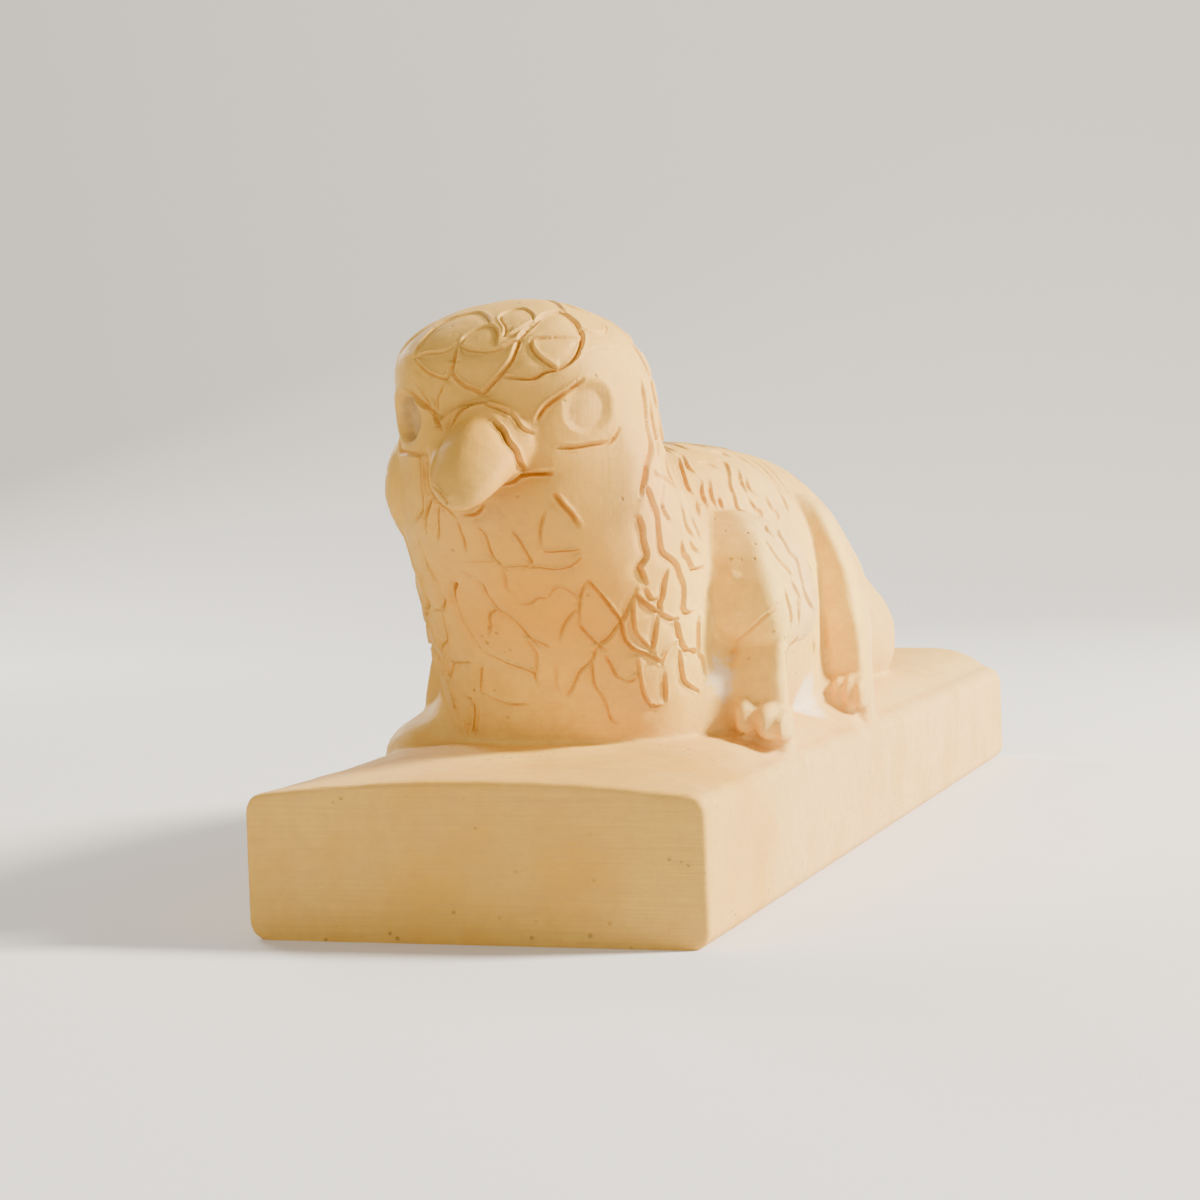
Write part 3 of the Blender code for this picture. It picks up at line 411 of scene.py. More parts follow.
# painted shade: the darker colour laid along the depth of every groove and in the eye sockets
GROOVE_PAINTED_SHADE = (0.5, 0.33, 0.15, 1)
DIRT = (0.2, 0.125, 0.07, 1)
SPECK = (0.3, 0.16, 0.07, 1)
PIT = (0.36, 0.2, 0.07, 1)

# Lights: (name, place, size, watts, colour), aimed at a point inside the cast
LIGHT_TARGET = (0, 0, 0.05)
LIGHTS = (
    ("key_light", (1.1, 0.22, 0.75), 0.3, 70, (1, 0.925, 0.81)),
    ("fill_light", (-0.7, -1.3, 0.8), 0.9, 8, (1, 0.93, 0.82)),
    ("rim_light", (-0.9, 0.7, 0.6), 0.4, 12, (1, 0.94, 0.85)),
)
SURROUND_COLOUR = (1, 0.965, 0.91, 1)
SURROUND_STRENGTH = 0.36

# Camera: its place in plinth widths from the middle of the plinth's front, its turn,
# tilt and roll in degrees, and its lens and sensor in millimetres
CAMERA_PLACE = (1.84, -4.6, 0.88)
CAMERA_TURN, CAMERA_TILT, CAMERA_ROLL = 18.6, 2.0, -2.0
CAMERA_LENS, CAMERA_SENSOR = 72, 36


def spot(across, along, up):
    """Where a point drawn in millimetres lies, in metres."""
    return Vector(
        (across * ACROSS + PLINTH_FLARE / 2, along * ALONG - PLINTH_LENGTH / 2, up * UP + PLINTH_HEIGHT)
    )


def power(value, exponent):
    """Signed power, for superellipse outlines."""
    return math.copysign(abs(value) ** exponent, value)


def add_loft(bm, rings):
    """A closed shell through rings of points, with a flat cap at each end."""
    rows = [[bm.verts.new(point) for point in ring] for ring in rings]
    count = len(rows[0])
    for near, far in zip(rows, rows[1:]):
        for i in range(count):
            j = (i + 1) % count
            bm.faces.new((near[i], near[j], far[j], far[i]))
    bm.faces.new(list(reversed(rows[0])))
    bm.faces.new(rows[-1])


def add_ball(bm, centre, radii, turn=(0, 0, 0)):
    """An ellipsoid. Turn is in degrees about X, then Y, then Z."""
    spin = Matrix.Rotation(math.radians(turn[2]), 4, "Z")
    spin = spin @ Matrix.Rotation(math.radians(turn[1]), 4, "Y")
    spin = spin @ Matrix.Rotation(math.radians(turn[0]), 4, "X")
    size = Matrix.Diagonal((radii[0] * ACROSS, radii[1] * ALONG, radii[2] * UP, 1))
    place = Matrix.Translation(spot(*centre)) @ spin @ size
    bmesh.ops.create_uvsphere(bm, u_segments=24, v_segments=16, radius=1, matrix=place)


def torso_ring(along, half_width, ridge, waist):
    ring = []
    for i in range(RING_POINTS):
        a = 2 * math.pi * i / RING_POINTS
        across = half_width * power(math.cos(a), 2 / TORSO_FULLNESS)
        rise = (ridge - waist) if math.sin(a) > 0 else (waist - TORSO_FOOT)
        ring.append(spot(across, along, waist + rise * power(math.sin(a), 2 / TORSO_FULLNESS)))
    return ring


def column_ring(up, front, widest, back, right, left):
    ring = []
    for i in range(RING_POINTS):
        a = 2 * math.pi * i / RING_POINTS
        depth, fullness = widest - front, FRONT_FULLNESS
        if math.sin(a) > 0:
            depth, fullness = back - widest, BACK_FULLNESS
        width = left if math.cos(a) > 0 else right
        across = width * power(math.cos(a), 2 / fullness)
        ring.append(spot(across, widest + depth * power(math.sin(a), 2 / fullness), up))
    return ring


def add_masses(bm):
    """The big soft forms: torso, chest with head, rump, and the plaster between legs and body."""
    add_loft(bm, [torso_ring(*s) for s in TORSO])
    add_loft(bm, [column_ring(*s) for s in COLUMN])
    for side in (-1, 1):
        add_ball(bm, (side * 17.5, 200, 15.5), (12.8, 27, 16), (-10, 0, side * -8))
        add_ball(bm, (side * 25.5, 65.5, 10), (7, 9, 14))
        add_ball(bm, (side * 28.5, 136, 6), (6.5, 13, 14))
        add_ball(bm, (side * 32, 128, -1), (8, 14, 5.5))
    add_ball(bm, (21.2, 29, 52.5), (5.4, 9, 10))
    # the right front paw, worn down to a mound
    add_ball(bm, (-30, 60, 1), (11, 18, 8.5))


def add_beak(bm):
    rings = []
    for along, low, high, right, left in BEAK:
        ring = []
        for i in range(28):
            a = 2 * math.pi * i / 28
            width = left if math.cos(a) > 0 else right
            fullness = BEAK_RIDGE if math.sin(a) > 0 else BEAK_FULLNESS
            across = BEAK_AXIS + width * power(math.cos(a), 2 / fullness)
            up = (low + high) / 2 + (high - low) / 2 * power(math.sin(a), 2 / fullness)
            ring.append(spot(across, along, up))
        rings.append(ring)
    add_loft(bm, rings)


def add_limb(bm, side, stations, taper=0, inset=0, lean=0):
    """A slab limb, set in from its stations, that narrows towards its back by the taper."""
    rings = []
    for up, inner, outer, front, back in smooth_path(stations, 4):
        ring = []
        for i in range(24):
            a = 2 * math.pi * i / 24
            reach = (back - front) / 2 * power(math.sin(a), 2 / LIMB_FULLNESS)
            across = (inner + outer) / 2 + (outer - inner) / 2 * power(math.cos(a), 2 / LIMB_FULLNESS)
            across -= inset + lean * up + taper * (reach + (back - front) / 2)
            ring.append(spot(side * across, (front + back) / 2 + reach, up))
        rings.append(ring)
    add_loft(bm, rings)


def add_paw(bm, side, toes, tip):
    """A row of toes, each an upright rounded bar in front of the limb."""
    for across, half, foot, top in toes:
        reach = 0.05 * (across - toes[2][0]) ** 2
        for share in (0.34, 0.5, 0.66):
            centre = (side * across, tip + reach + 4.6, foot + (top - foot) * share)
            radii = (half * 0.98, 4.6, (top - foot) * 0.36)
            add_ball(bm, centre, radii, (8 if share > 0.5 else 0, 0, 0))


def arc(across, up, radius, start, steps=5):
    """A quarter circle round a corner of the plinth's cross-section."""
    turns = [math.radians(start + 90 * k / (steps - 1)) for k in range(steps)]
    return [(across + radius * math.cos(a), up + radius * math.sin(a)) for a in turns]


def plinth_ring(along, inset):
    """Cross-section of the plinth: rounded edges and a crowned top."""
    share = along / PLINTH_LENGTH
    crown = PLINTH_CROWN_FRONT + (PLINTH_CROWN_REAR - PLINTH_CROWN_FRONT) * min(1, share * 4)
    fullness = 2 + 4 * min(1, share * 7)
    radius = EDGE_RADIUS_FRONT + (EDGE_RADIUS_REAR - EDGE_RADIUS_FRONT) * share
    foot = FOOT_RADIUS
    left = PLINTH_WIDTH / 2 - inset
    right = left + PLINTH_FLARE * max(0, 1 - share * 2.5)
    top = PLINTH_HEIGHT - inset
    points = [(-right + foot, -UNDERSIDE_TRIM), (left - foot, -UNDERSIDE_TRIM)]
    points += arc(left - foot, foot, foot, -90)
    points += arc(left - radius, top - radius, radius, 0)
    for k in range(1, 28):
        x = 1 - k / 14
        half = (left if x > 0 else right) - radius
        points.append((x * half, top + crown * (1 - abs(x) ** fullness)))
    points += arc(-right + radius, top - radius, radius, 90)
    points += arc(-right + foot, foot, foot, 180)
    return [Vector((x + PLINTH_FLARE / 2, along - PLINTH_LENGTH / 2, z)) for x, z in points]


def add_plinth(bm):
    edge = 0.0006
    stops = [0, edge] + [PLINTH_LENGTH * k / 12 for k in range(1, 12)]
    stops += [PLINTH_LENGTH - edge, PLINTH_LENGTH]
    add_loft(bm, [plinth_ring(s, edge if s in (0, PLINTH_LENGTH) else 0) for s in stops])


def add_crisp_forms(bm):
    """Plinth, beak, right cheek, arms, hind legs and paws."""
    add_plinth(bm)
    add_beak(bm)
    add_ball(bm, (-21.2, 29, 53), (3.8, 8.5, 9.5))
    add_limb(bm, 1, UPPER_ARM)
    add_limb(bm, 1, FOREARM, FOREARM_TAPER)
    add_limb(bm, -1, UPPER_ARM, 0, RIGHT_UPPER_INSET)
    add_limb(bm, -1, FOREARM, FOREARM_TAPER, RIGHT_FOREARM_INSET, RIGHT_FOREARM_LEAN)
    add_paw(bm, 1, FRONT_TOES, FRONT_TOE_TIP)
    for side in (-1, 1):
        add_limb(bm, side, HIND_LEG, HIND_LEG_TAPER)
        add_paw(bm, side, HIND_TOES, HIND_TOE_TIP)


def fused(bm, voxel):
    """The closed shells of a bmesh fused into one skin."""
    bmesh.ops.recalc_face_normals(bm, faces=bm.faces)
    mesh = bpy.data.meshes.new("forms")
    bm.to_mesh(mesh)
    bm.free()
    holder = bpy.data.objects.new("forms", mesh)
    bpy.context.scene.collection.objects.link(holder)
    remesh = holder.modifiers.new("Fuse", "REMESH")
    remesh.mode = "VOXEL"
    remesh.voxel_size = voxel
    depsgraph = bpy.context.evaluated_depsgraph_get()
    skin = bpy.data.meshes.new_from_object(holder.evaluated_get(depsgraph))
    bpy.data.objects.remove(holder)
    return skin


def read_vertices(mesh, field):
    values = np.empty(len(mesh.vertices) * 3)
    mesh.vertices.foreach_get(field, values)
    return values.reshape(-1, 3)


def write_positions(mesh, co):
    mesh.vertices.foreach_set("co", co.ravel())
    mesh.update()


def relax(mesh, passes):
    """Moves each point towards the mean of its neighbours, which fillets the creases."""
    co = read_vertices(mesh, "co")
    ends = np.empty(len(mesh.edges) * 2, np.int32)
    mesh.edges.foreach_get("vertices", ends)
    a, b = ends.reshape(-1, 2).T
    count = len(co)
    degree = np.bincount(np.concatenate([a, b]), minlength=count)[:, None]
    for _ in range(passes):
        total = [np.bincount(a, co[b, k], count) + np.bincount(b, co[a, k], count) for k in range(3)]
        co += 0.6 * (np.column_stack(total) / degree - co)
    write_positions(mesh, co)


def uncarved_skin():
    bm = bmesh.new()
    add_masses(bm)
    masses = fused(bm, MASS_VOXEL)
    relax(masses, 8)
    bm = bmesh.new()
    bm.from_mesh(masses)
    add_crisp_forms(bm)
    skin = fused(bm, SKIN_VOXEL)
    relax(skin, RELAX_PASSES)
    return skin


def thinned(mesh, triangles):
    """The same skin with fewer triangles, most of them where it is carved."""
    holder = bpy.data.objects.new("skin", mesh)
    bpy.context.scene.collection.objects.link(holder)
    collapse = holder.modifiers.new("Thin", "DECIMATE")
    collapse.ratio = min(1, triangles / (2 * len(mesh.polygons)))
    collapse.use_collapse_triangulate = True
    depsgraph = bpy.context.evaluated_depsgraph_get()
    thin = bpy.data.meshes.new_from_object(holder.evaluated_get(depsgraph))
    bpy.data.objects.remove(holder)
    return thin


def cut_flat(mesh):
    """Cuts the underside off flat at the height of the origin."""
    bm = bmesh.new()
    bm.from_mesh(mesh)
    whole = bm.verts[:] + bm.edges[:] + bm.faces[:]
    bmesh.ops.bisect_plane(bm, geom=whole, dist=1e-7, plane_no=(0, 0, 1), clear_inner=True)
    bmesh.ops.contextual_create(bm, geom=[e for e in bm.edges if e.is_boundary])
    bm.to_mesh(mesh)
    bm.free()


class Skin:
    """The uncarved surface, on which drawn lines are laid."""

    def __init__(self, mesh):
        faces = [p.vertices[:] for p in mesh.polygons]
        self.tree = BVHTree.FromPolygons([v.co[:] for v in mesh.vertices], faces)

    def seen_from_head(self, turn, tilt):
        turn, tilt = math.radians(turn), math.radians(tilt)
        level = math.cos(tilt)
        ray = Vector((math.sin(turn) * level, -math.cos(turn) * level, math.sin(tilt)))
        return self.tree.ray_cast(spot(*HEAD_MIDDLE), ray)[0]

    def seen_from_chest(self, turn, up):
        turn = math.radians(turn)
        ray = Vector((math.sin(turn), -math.cos(turn), 0))
        return self.tree.ray_cast(spot(0, CHEST_MIDDLE, up), ray)[0]

    def seen_from_torso(self, along, roll):
        roll = math.radians(roll)
        ray = Vector((math.cos(roll), 0, math.sin(roll)))
        return self.tree.ray_cast(spot(0, along, TORSO_MIDDLE), ray)[0]

    def seen_from_nape(self, turn, up):
        turn = math.radians(turn)
        ray = Vector((math.sin(turn), -math.cos(turn), 0))
        return self.tree.ray_cast(spot(0, NAPE_MIDDLE, up), ray)[0]

    def beside(self, across, along, up):
        return self.tree.find_nearest(spot(across, along, up))[0]


def smooth_path(points, steps):
    """Points along a Catmull-Rom curve through drawn points."""
    p = [np.array(q, float) for q in points]
    p = [2 * p[0] - p[1]] + p + [2 * p[-1] - p[-2]]
    path = []
    for a, b, c, d in zip(p, p[1:], p[2:], p[3:]):
        for k in range(steps):
            t = k / steps
            bend = (3 * (b - c) + d - a) * t + 2 * a - 5 * b + 4 * c - d
            path.append(0.5 * ((bend * t + c - a) * t + 2 * b))
    return path + [p[-2]]


class Carving:
    """Everything that is cut into the skin: dense points with a width, depth and way."""

    def __init__(self):
        self.places, self.widths, self.depths, self.ways = [], [], [], []

    def add(self, lines, place_at, mirror=None):
        for width, depth, points in lines:
            self.add_line(width, depth, points, place_at)
            if mirror:
                self.add_line(width, depth, [mirror(*p) for p in points], place_at)

    def add_line(self, width, depth, points, place_at):
        laid = [p for p in (place_at(*q) for q in smooth_path(points, LINE_STEPS)) if p]
        laid = [p for p, before in zip(laid, laid[:1] + laid) if (p - before).length < LINE_GAP * UP]
        for i, place in enumerate(laid):
            end = min(i, len(laid) - 1 - i) / (LINE_STEPS * 0.6)
            self.places.append(place)
            self.widths.append(width)
            self.depths.append(depth * min(1, 0.35 + 0.65 * end))
            self.ways.append((laid[min(i + 1, len(laid) - 1)] - laid[max(i - 1, 0)]).normalized())

    def near(self):
        tree = KDTree(len(self.places))
        for i, place in enumerate(self.places):
            tree.insert(place, i)
        tree.balance()
        return tree

    def read_at(self, co):
        """Distance, side vector, width and depth of the line nearest to each point."""
        tree = self.near()
        found = [tree.find(p)[1:] for p in co]
        index = np.array([i for i, _ in found])
        away = np.array([d for _, d in found]) / UP
        offset = (co - np.array(self.places)[index]) / UP
        across = np.cross(offset, np.array(self.ways)[index])
        return away, across, np.array(self.widths)[index] * LINE_SPREAD, np.array(self.depths)[index]

    def depth_at(self, co, normals):
        """How deep each point is cut, in millimetres."""
        away, across, width, depth = self.read_at(co)
        groove = np.exp(-((away / width) ** 2))
        shoulder = np.exp(-((away / SHOULDER_REACH) ** 2))
        lip = np.exp(-(((away - 2.1 * width) / (0.7 * width)) ** 2))
        side = np.tanh((across * normals).sum(axis=1) / width) * np.exp(-((away / STEP_REACH) ** 2))
        return depth * (groove + SHOULDER * shoulder - LIP * lip + STEP * side)


def nape_scales():
    """Rows of rounded scales round the back of the head, as (turn, up)."""
    lines = []
    for row, up in enumerate((81, 75, 69, 63)):
        for k in range(9):
            turn = 104 + 19 * k - 9.5 * (row % 2)
            sway = 1.5 * math.sin(2.3 * k + 1.7 * row)
            bow = ((-9, 3.5), (-7.5, 0), (-4, -2.6), (0, -3.4), (4, -2.6), (7.5, 0), (9, 3.5))
            lines.append((0.8, 0.6, [(turn + sway + a, up + b) for a, b in bow]))
    return lines


def back_streaks():
    """Loose strokes from the spine down the left of the back, as (along, roll)."""
    lines = []
    for k in range(15):
        along = 74 + 7.5 * k
        lean = 3 * math.sin(1.9 * k)
        upper = [(along + 5, 88 - k % 3), (along + 4, 82)]
        upper += [(along + 1 + lean, 76), (along - 2 + lean, 70)]
        lower = [(along + 3 + lean, 66), (along + lean, 58), (along - 3, 50), (along - 4, 42)]
        lines.append((0.8, 0.45 if k < 9 else 0.25, upper))
        if along > 112:
            lines.append((0.8, 0.3 if k < 9 else 0.15, lower))
    return lines


def turned_over(turn, height):
    """The same place on the other side of the head or chest."""
    return -turn, height


def rolled_over(along, roll):
    """The same place on the other side of the torso."""
    return along, 180 - roll


def carving_of(skin):
    """The drawn lines laid on the skin, on both sides where both sides carry them."""
    carving = Carving()
    carving.add(CROWN_LINES, skin.seen_from_head)
    carving.add(FACE_LINES, skin.seen_from_head)
    carving.add(FACE_SIDE_LINES, skin.seen_from_head, turned_over)
    carving.add(nape_scales(), skin.seen_from_nape)
    carving.add(CHEST_LINES, skin.seen_from_chest)
    carving.add(SCALE_LINES, skin.seen_from_chest, turned_over)
    carving.add(STREAK_LINES, skin.seen_from_torso, rolled_over)
    carving.add(back_streaks(), skin.seen_from_torso, rolled_over)
    carving.add(JOINT_LINES, skin.beside)
    return carving


def eye_cut(co):
    """Height that the eye sockets and their rims add, in millimetres."""
    rise = np.zeros(len(co))
    for side in (-1, 1):
        offset = (co - np.array(spot(side * EYE[0], EYE[1], EYE[2]))) / UP / EYE_RADIUS
        slant = offset @ np.array([side * EYE_SLANT[0], EYE_SLANT[1], EYE_SLANT[2]])
        away = np.sqrt(np.maximum((offset**2).sum(axis=1) - EYE_STRETCH * slant**2, 0))
        bowl = np.clip((1.1 - away) / EYE_EDGE[side], 0, 1)
        bowl = bowl * bowl * (3 - 2 * bowl) - 0.3 * np.clip(1 - (away / 0.9) ** 2, 0, 1)
        rim = EYE_RIM * (1 + slant) * np.exp(-(((away - 1.22) / 0.2) ** 2))
        rise += rim - EYE_DEPTH[side] * bowl
    return rise


def carve(mesh, carving):
    co, normals = read_vertices(mesh, "co"), read_vertices(mesh, "normal")
    rise = eye_cut(co) - LINE_DEPTH * carving.depth_at(co, normals)
    write_positions(mesh, co + normals * (rise * UP)[:, None])


def refine(mesh, carving):
    """Splits the faces beside the lines, so that narrow grooves come out crisp."""
    tree = carving.near()
    bm = bmesh.new()
    bm.from_mesh(mesh)
    for reach in REFINE_REACHES:
        beside = set()
        for face in bm.faces:
            if tree.find(face.calc_center_median())[2] < reach * UP:
                beside.update(face.edges)
        bmesh.ops.subdivide_edges(bm, edges=list(beside), cuts=1, use_grid_fill=True)
    bm.to_mesh(mesh)
    bm.free()


def keep_recess_for_shade_and_dirt(mesh, carving):
    """Keeps how deep in the carving each point lies, and how near to it, for the painted shade and the
    dirt in the carving.
    """
    co = read_vertices(mesh, "co")
    away, _, width, depth = carving.read_at(co)
    # the eye sockets count as recess too, so they take the grooves' painted shade and dirt
    recess = depth * np.exp(-((away / width) ** 2)) - 0.5 * np.minimum(eye_cut(co), 0)
    beside = depth * np.exp(-((away / STEP_REACH) ** 2))
    for name, value in (("recess", recess), ("beside", beside)):
        kept = np.clip(value, 0, 1).astype(np.float32)
        mesh.attributes.new(name, "FLOAT", "POINT").data.foreach_set("value", kept)


def sharpen_foot(mesh):
    """Keeps the underside from bending the shading of the faces above it."""
    low = read_vertices(mesh, "co")[:, 2] < 1e-5
    for edge in mesh.edges:
        if low[edge.vertices[0]] and low[edge.vertices[1]]:
            edge.use_edge_sharp = True


def hand_worked(mesh):
    """Soft unevenness of a surface smoothed by hand, least on the plinth's sides."""
    co, normals = read_vertices(mesh, "co"), read_vertices(mesh, "normal")
    rise = [sum(height * noise.noise(Vector(p) * waves) for height, waves in UNEVENNESS) for p in co]
    share = np.clip((co[:, 2] - PLINTH_HEIGHT + 0.004) / 0.005, 0.2, 1)
    rise = np.array(rise) * share
    for place, reach, height in PIMPLES:
        away = np.linalg.norm(co - np.array(spot(*place)), axis=1) / UP
        dimple = 0.9 * np.exp(-((away / (0.4 * reach)) ** 2))
        rise += height * (np.exp(-((away / reach) ** 2)) - dimple)
    write_positions(mesh, co + normals * (rise * UP)[:, None])


def made_statue():
    mesh = uncarved_skin()
    carving = carving_of(Skin(mesh))
    refine(mesh, carving)
    hand_worked(mesh)
    carve(mesh, carving)
    mesh = thinned(mesh, KEPT_TRIANGLES)
    cut_flat(mesh)
    keep_recess_for_shade_and_dirt(mesh, carving)
    mesh.polygons.foreach_set("use_smooth", [True] * len(mesh.polygons))
    sharpen_foot(mesh)
    mesh.materials.append(plaster())
    statue = bpy.data.objects.new("cast_statue", mesh)
    bpy.context.scene.collection.objects.link(statue)
    even = statue.modifiers.new("Even", "WEIGHTED_NORMAL")
    even.mode = "FACE_AREA"
    even.weight = 50
    even.keep_sharp = True
    return statue


class Nodes:
    """Short-hand for building one material's node tree."""

    def __init__(self, name):
        self.material = bpy.data.materials.new(name)
        self.material.use_nodes = True
        self.tree = self.material.node_tree
        self.shader = self.tree.nodes["Principled BSDF"]

    def node(self, kind, inputs=None, **settings):
        node = self.tree.nodes.new(kind)
        for key, value in settings.items():
            setattr(node, key, value)
        for key, value in (inputs or {}).items():
            self.put(node.inputs[key], value)
        return node

    def put(self, socket, value):
        if isinstance(value, bpy.types.NodeSocket):
            self.tree.links.new(value, socket)
        else:
            socket.default_value = value

    def noise(self, where, scale, detail=4, roughness=0.55, stretch=(1, 1, 1)):
        place = self.node("ShaderNodeMapping", {"Vector": where, "Scale": stretch}).outputs[0]
        inputs = {"Vector": place, "Scale": scale, "Detail": detail, "Roughness": roughness}
        return self.node("ShaderNodeTexNoise", inputs).outputs["Fac"]

    def near(self, where, centre, reach):
        """1 at a centre drawn in millimetres, falling to 0 at its reach."""
        inputs = {0: where, 1: tuple(spot(*centre))}
        away = self.node("ShaderNodeVectorMath", inputs, operation="DISTANCE").outputs["Value"]
        return self.ramp(away, reach * UP, 0.3 * reach * UP)

    def ramp(self, value, low, high, to_low=0.0, to_high=1.0):
        inputs = {"Value": value, "From Min": low, "From Max": high}
        inputs.update({"To Min": to_low, "To Max": to_high})
        return self.node("ShaderNodeMapRange", inputs).outputs[0]

    def math(self, operation, a, b=0.0):
        node = self.node("ShaderNodeMath", operation=operation)
        self.put(node.inputs[0], a)
        self.put(node.inputs[1], b)
        return node.outputs[0]

    def mix(self, share, a, b, blend="MIX"):
        node = self.node("ShaderNodeMix", data_type="RGBA", blend_type=blend)
        self.put(node.inputs["Factor"], share)
        self.put(node.inputs[6], a)
        self.put(node.inputs[7], b)
        return node.outputs[2]


def tone_with_painted_light(n, where, across, along):
    """The plaster's own colour, which changes slowly over the cast, with painted light on it: the side
    facing the key light painted paler, and the shaded fronts of the limbs and the low chest painted
    lighter.
    """
    colour = n.mix(n.ramp(n.noise(where, 22, 3), 0.35, 0.68), CREAM, CREAM_DEEP)
    # painted light: the +X side, which faces the key light, is painted paler, but not on the plinth's
    # front face, and less towards the head
    side = n.math("MULTIPLY", n.ramp(across, 0.018, 0.042), n.ramp(along, -0.1515, -0.147))
    side = n.math("MULTIPLY", side, n.ramp(n.noise(where, 60, 4), 0.2, 0.6, 0.35, 0.7))
    side = n.math("MULTIPLY", side, n.ramp(along, -0.125, -0.085, 0.25, 1))
    colour = n.mix(side, colour, PAINTED_LIT_SIDE)
    yellow = n.ramp(n.noise(where, 45, 4), 0.5, 0.68, 0, 0.6)
    yellow = n.math("MAXIMUM", yellow, n.near(where, (6, 30, 33), 26))
    colour = n.mix(n.math("MULTIPLY", yellow, 0.8), colour, YELLOW)
    pink = n.ramp(n.noise(where, 33, 2), 0.55, 0.7, 0, 0.4)
    pink = n.math("MAXIMUM", pink, n.near(where, (25, 30, 50), 15))
    colour = n.mix(n.math("MULTIPLY", pink, 0.5), colour, PINK)
    colour = n.mix(n.math("MULTIPLY", n.near(where, (6, 16, 56), 27), 0.75), colour, FACE_TONE)
    # painted light: lighter low on the chest and on the shaded fronts of the limbs, in place of fill
    # light
    light = n.math("MAXIMUM", n.near(where, (0, 38, 6), 24), n.near(where, (32, 55, 24), 24))
    light = n.math("MAXIMUM", light, n.near(where, (34, 124, 26), 26))
    return n.mix(n.math("MULTIPLY", light, 0.6), colour, LIMB_FRONT_PAINTED_LIGHT)


def marked(n, where, up, colour):
    """Soil under the beak, mottling, tool streaks and white plaster by the paws."""
    soil = n.ramp(n.noise(where, 500, 5, 0.75), 0.45, 0.65)
    soil = n.math("MULTIPLY", n.near(where, (2, 12, 45), 9), soil)
    colour = n.mix(n.math("MULTIPLY", soil, 0.5), colour, SOIL)
    colour = n.mix(n.ramp(n.noise(where, 330, 5, 0.75), 0.4, 0.72, 0, 0.4), colour, MOTTLE)
    streaks = n.ramp(n.noise(where, 55, 5, 0.65, (0.5, 20, 36)), 0.45, 0.68, 0, 0.42)
    streaks = n.math("MULTIPLY", streaks, n.ramp(up, 0.028, 0.036, 1, 0.2))
    colour = n.mix(streaks, colour, STREAK)
    white = n.math("MAXIMUM", n.near(where, (25.5, 60, 15), 8), n.near(where, (28, 114, 6), 11))
    white = n.math("MAXIMUM", white, n.near(where, (38.5, 172, 9), 9))
    crumbled = n.ramp(n.noise(where, 330, 6, 0.75), 0.3, 0.7, -0.45, 0.35)
    worked = n.ramp(n.math("ADD", white, crumbled), 0.3, 0.75)
    return n.mix(n.math("MULTIPLY", worked, 0.75), colour, FRESH_WHITE)


def painted_shade_and_soil(n, where, across, colour):
    """Painted shade along the depth of the carving and patchy dirt in it, and specks that hang beside
    it, all fainter towards +X.
    """
    recess = n.node("ShaderNodeAttribute", attribute_name="recess").outputs["Fac"]
    beside = n.node("ShaderNodeAttribute", attribute_name="beside").outputs["Fac"]
    patch = n.ramp(n.noise(where, 130, 4), 0.42, 0.62, 0.08, 1)
    patch = n.math("MULTIPLY", patch, n.ramp(across, 0.012, 0.028, 1, 0.3))
    # painted shade: every groove darkened by its depth, less on the +X side
    groove_shade = n.ramp(recess, 0.15, 0.7, 0, 0.35)
    groove_shade = n.math("MULTIPLY", groove_shade, n.ramp(across, 0.012, 0.028, 1, 0.4))
    colour = n.mix(groove_shade, colour, GROOVE_PAINTED_SHADE)
    dirt = n.math("MULTIPLY", n.ramp(recess, 0.4, 0.85, 0, 0.85), patch)
    colour = n.mix(dirt, colour, DIRT)
    specks = n.ramp(n.noise(where, 1100, 3, 0.7), 0.56, 0.68, 0, 0.8)
    specks = n.math("MULTIPLY", n.math("MULTIPLY", specks, beside), patch)
    return n.mix(specks, colour, SPECK)


def bubbles(n, where, up):
    """1 in each small air bubble; most of them lie along the foot."""
    cells = n.node("ShaderNodeTexVoronoi", {"Vector": where, "Scale": 420.0, "Randomness": 1.0})
    chance = n.math("ADD", n.noise(where, 75, 2), n.ramp(up, 0.001, 0.007, 0.26, 0))
    chance = n.ramp(chance, 0.585, 0.635)
    return n.math("MULTIPLY", n.ramp(cells.outputs["Distance"], 0.08, 0.19, 1, 0), chance)


def relief(n, where, up, pit):
    """Striations brushed round the plinth and up the head, grain, and bubbles."""
    brushed = n.noise(where, 40, 6, 0.7, (0.5, 16, 24))
    brushed = n.math("MULTIPLY", brushed, n.ramp(up, 0.026, 0.036, 2.2, 0.8))
    combed = n.noise(where, 40, 6, 0.7, (18, 14, 1.2))
    combed = n.math("MULTIPLY", combed, n.ramp(up, 0.05, 0.07, 0, 1.3))
    height = n.math("MULTIPLY", n.math("ADD", brushed, combed), 0.35)
    height = n.math("ADD", height, n.math("MULTIPLY", n.noise(where, 900, 3, 0.6), 0.2))
    height = n.math("SUBTRACT", height, n.math("MULTIPLY", pit, 1.4))
    bump = n.node("ShaderNodeBump", {"Strength": 0.6, "Distance": 0.0004, "Height": height})
    return bump.outputs[0]


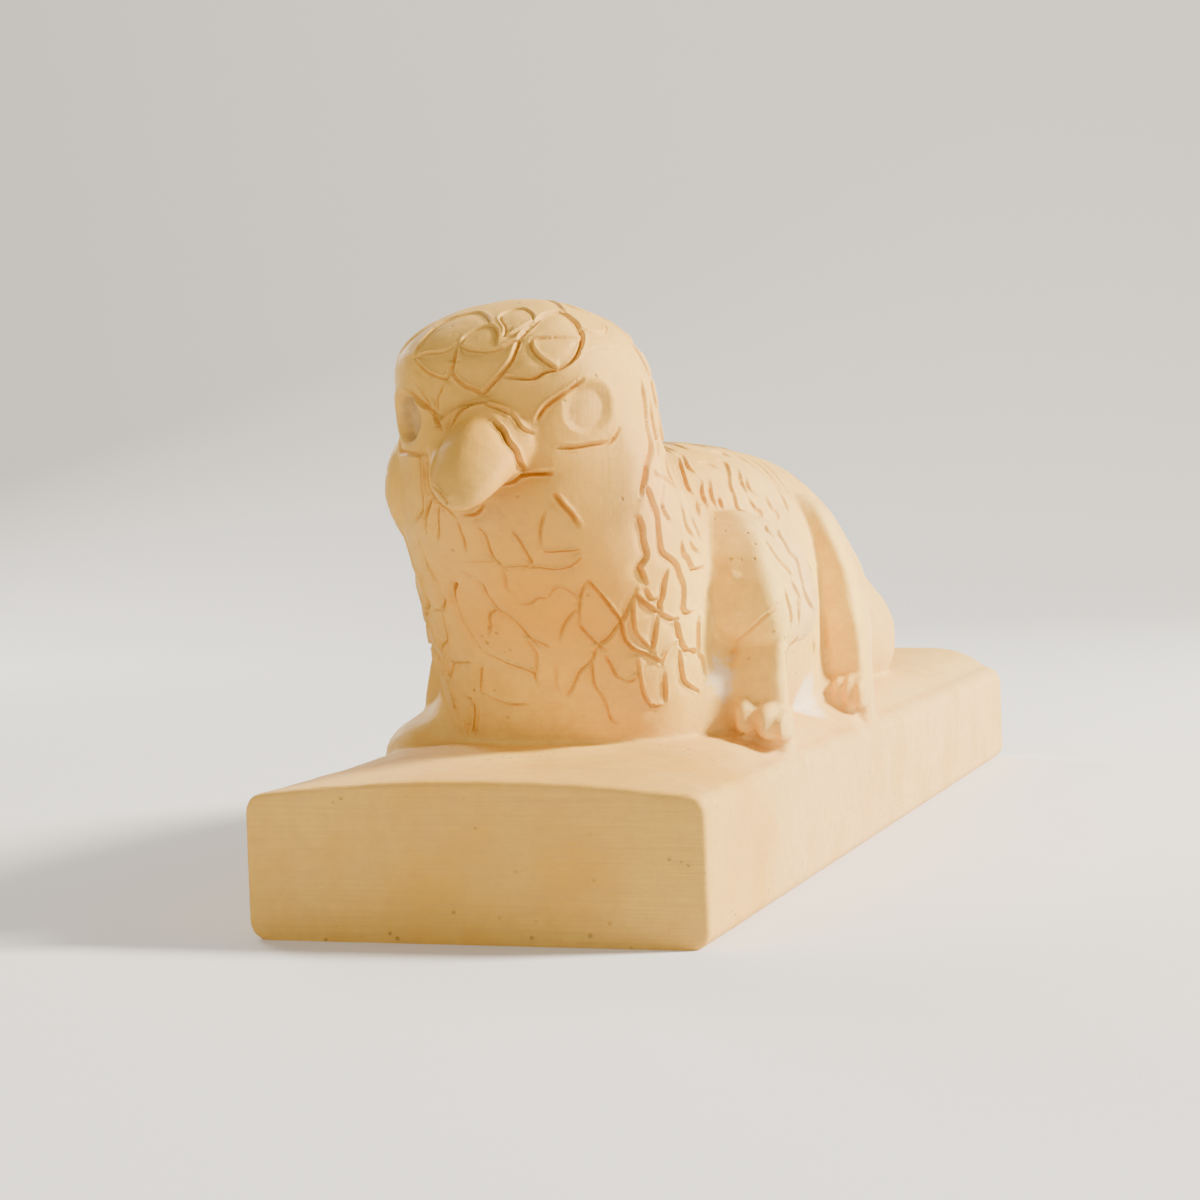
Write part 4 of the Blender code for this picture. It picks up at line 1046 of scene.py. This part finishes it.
def plaster():
    """Cream cast plaster: blotched, with painted shade and patchy dirt in the carving, painted light on
    its lit side and limb fronts, pitted and brushed.
    """
    n = Nodes("plaster")
    where = n.node("ShaderNodeTexCoord").outputs["Object"]
    across, along, up = n.node("ShaderNodeSeparateXYZ", {"Vector": where}).outputs
    pit = bubbles(n, where, up)
    colour = tone_with_painted_light(n, where, across, along)
    colour = marked(n, where, up, colour)
    colour = painted_shade_and_soil(n, where, across, colour)
    colour = n.mix(n.math("MULTIPLY", pit, 0.6), colour, PIT)
    n.put(n.shader.inputs["Base Color"], colour)
    n.put(n.shader.inputs["Roughness"], n.ramp(n.noise(where, 300, 4), 0.3, 0.7, 0.56, 0.74))
    n.put(n.shader.inputs["Normal"], relief(n, where, up, pit))
    n.put(n.shader.inputs["Specular IOR Level"], 0.3)
    n.put(n.shader.inputs["Subsurface Weight"], 0.04)
    n.put(n.shader.inputs["Subsurface Radius"], (0.0015, 0.001, 0.0006))
    n.put(n.shader.inputs["Subsurface Scale"], 1.0)
    return n.material


def backdrop():
    """A pale floor that sweeps up into a wall behind."""
    n = Nodes("studio_floor")
    n.shader.inputs["Base Color"].default_value = (0.80, 0.79, 0.77, 1)
    n.shader.inputs["Roughness"].default_value = 0.85
    profile = [(-3.0, 0.0), (0.9, 0.0)]
    profile += [(0.9 + 0.8 * math.sin(a), 0.8 - 0.8 * math.cos(a)) for a in np.radians(range(6, 91, 6))]
    profile += [(1.7, 3.5)]
    bm = bmesh.new()
    spin = Matrix.Rotation(math.radians(18), 3, "Z")
    rows = [[bm.verts.new(spin @ Vector((x, y, z))) for y, z in profile] for x in (-4.0, 4.0)]
    for i in range(len(profile) - 1):
        bm.faces.new((rows[0][i], rows[1][i], rows[1][i + 1], rows[0][i + 1])).smooth = True
    mesh = bpy.data.meshes.new("studio_floor")
    bm.to_mesh(mesh)
    bm.free()
    floor = bpy.data.objects.new("studio_floor", mesh)
    bpy.context.scene.collection.objects.link(floor)
    mesh.materials.append(n.material)


def area_light(name, place, size, watts, colour):
    light = bpy.data.lights.new(name, "AREA")
    light.shape = "DISK"
    light.size = size
    light.energy = watts
    light.color = colour
    lamp = bpy.data.objects.new(name, light)
    lamp.location = place
    aim = Vector(LIGHT_TARGET) - Vector(place)
    lamp.rotation_euler = aim.to_track_quat("-Z", "Y").to_euler()
    bpy.context.scene.collection.objects.link(lamp)


def lights():
    for light in LIGHTS:
        area_light(*light)
    world = bpy.data.worlds.new("studio")
    world.use_nodes = True
    surround = world.node_tree.nodes["Background"].inputs
    surround["Color"].default_value = SURROUND_COLOUR
    surround["Strength"].default_value = SURROUND_STRENGTH
    bpy.context.scene.world = world


def camera():
    data = bpy.data.cameras.new("camera")
    data.lens = CAMERA_LENS
    data.sensor_width = CAMERA_SENSOR
    data.clip_start = 0.01
    eye = bpy.data.objects.new("camera", data)
    yaw, pitch, roll = (math.radians(a) for a in (CAMERA_TURN, CAMERA_TILT, CAMERA_ROLL))
    level = math.cos(pitch)
    ahead = Vector((-math.sin(yaw) * level, math.cos(yaw) * level, -math.sin(pitch)))
    right = Vector((math.cos(yaw), math.sin(yaw), 0))
    down = ahead.cross(right)
    across = right * math.cos(roll) - down * math.sin(roll)
    below = right * math.sin(roll) + down * math.cos(roll)
    place = Matrix((across, -below, -ahead)).transposed().to_4x4()
    front = Vector((PLINTH_FLARE / 2, -PLINTH_LENGTH / 2, 0))
    place.translation = Vector(CAMERA_PLACE) * PLINTH_WIDTH + front
    eye.matrix_world = place
    bpy.context.scene.collection.objects.link(eye)
    bpy.context.scene.camera = eye


def main():
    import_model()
    statue = made_statue()
    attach(statue, "root")
    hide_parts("statue")
    backdrop()
    lights()
    camera()


main()
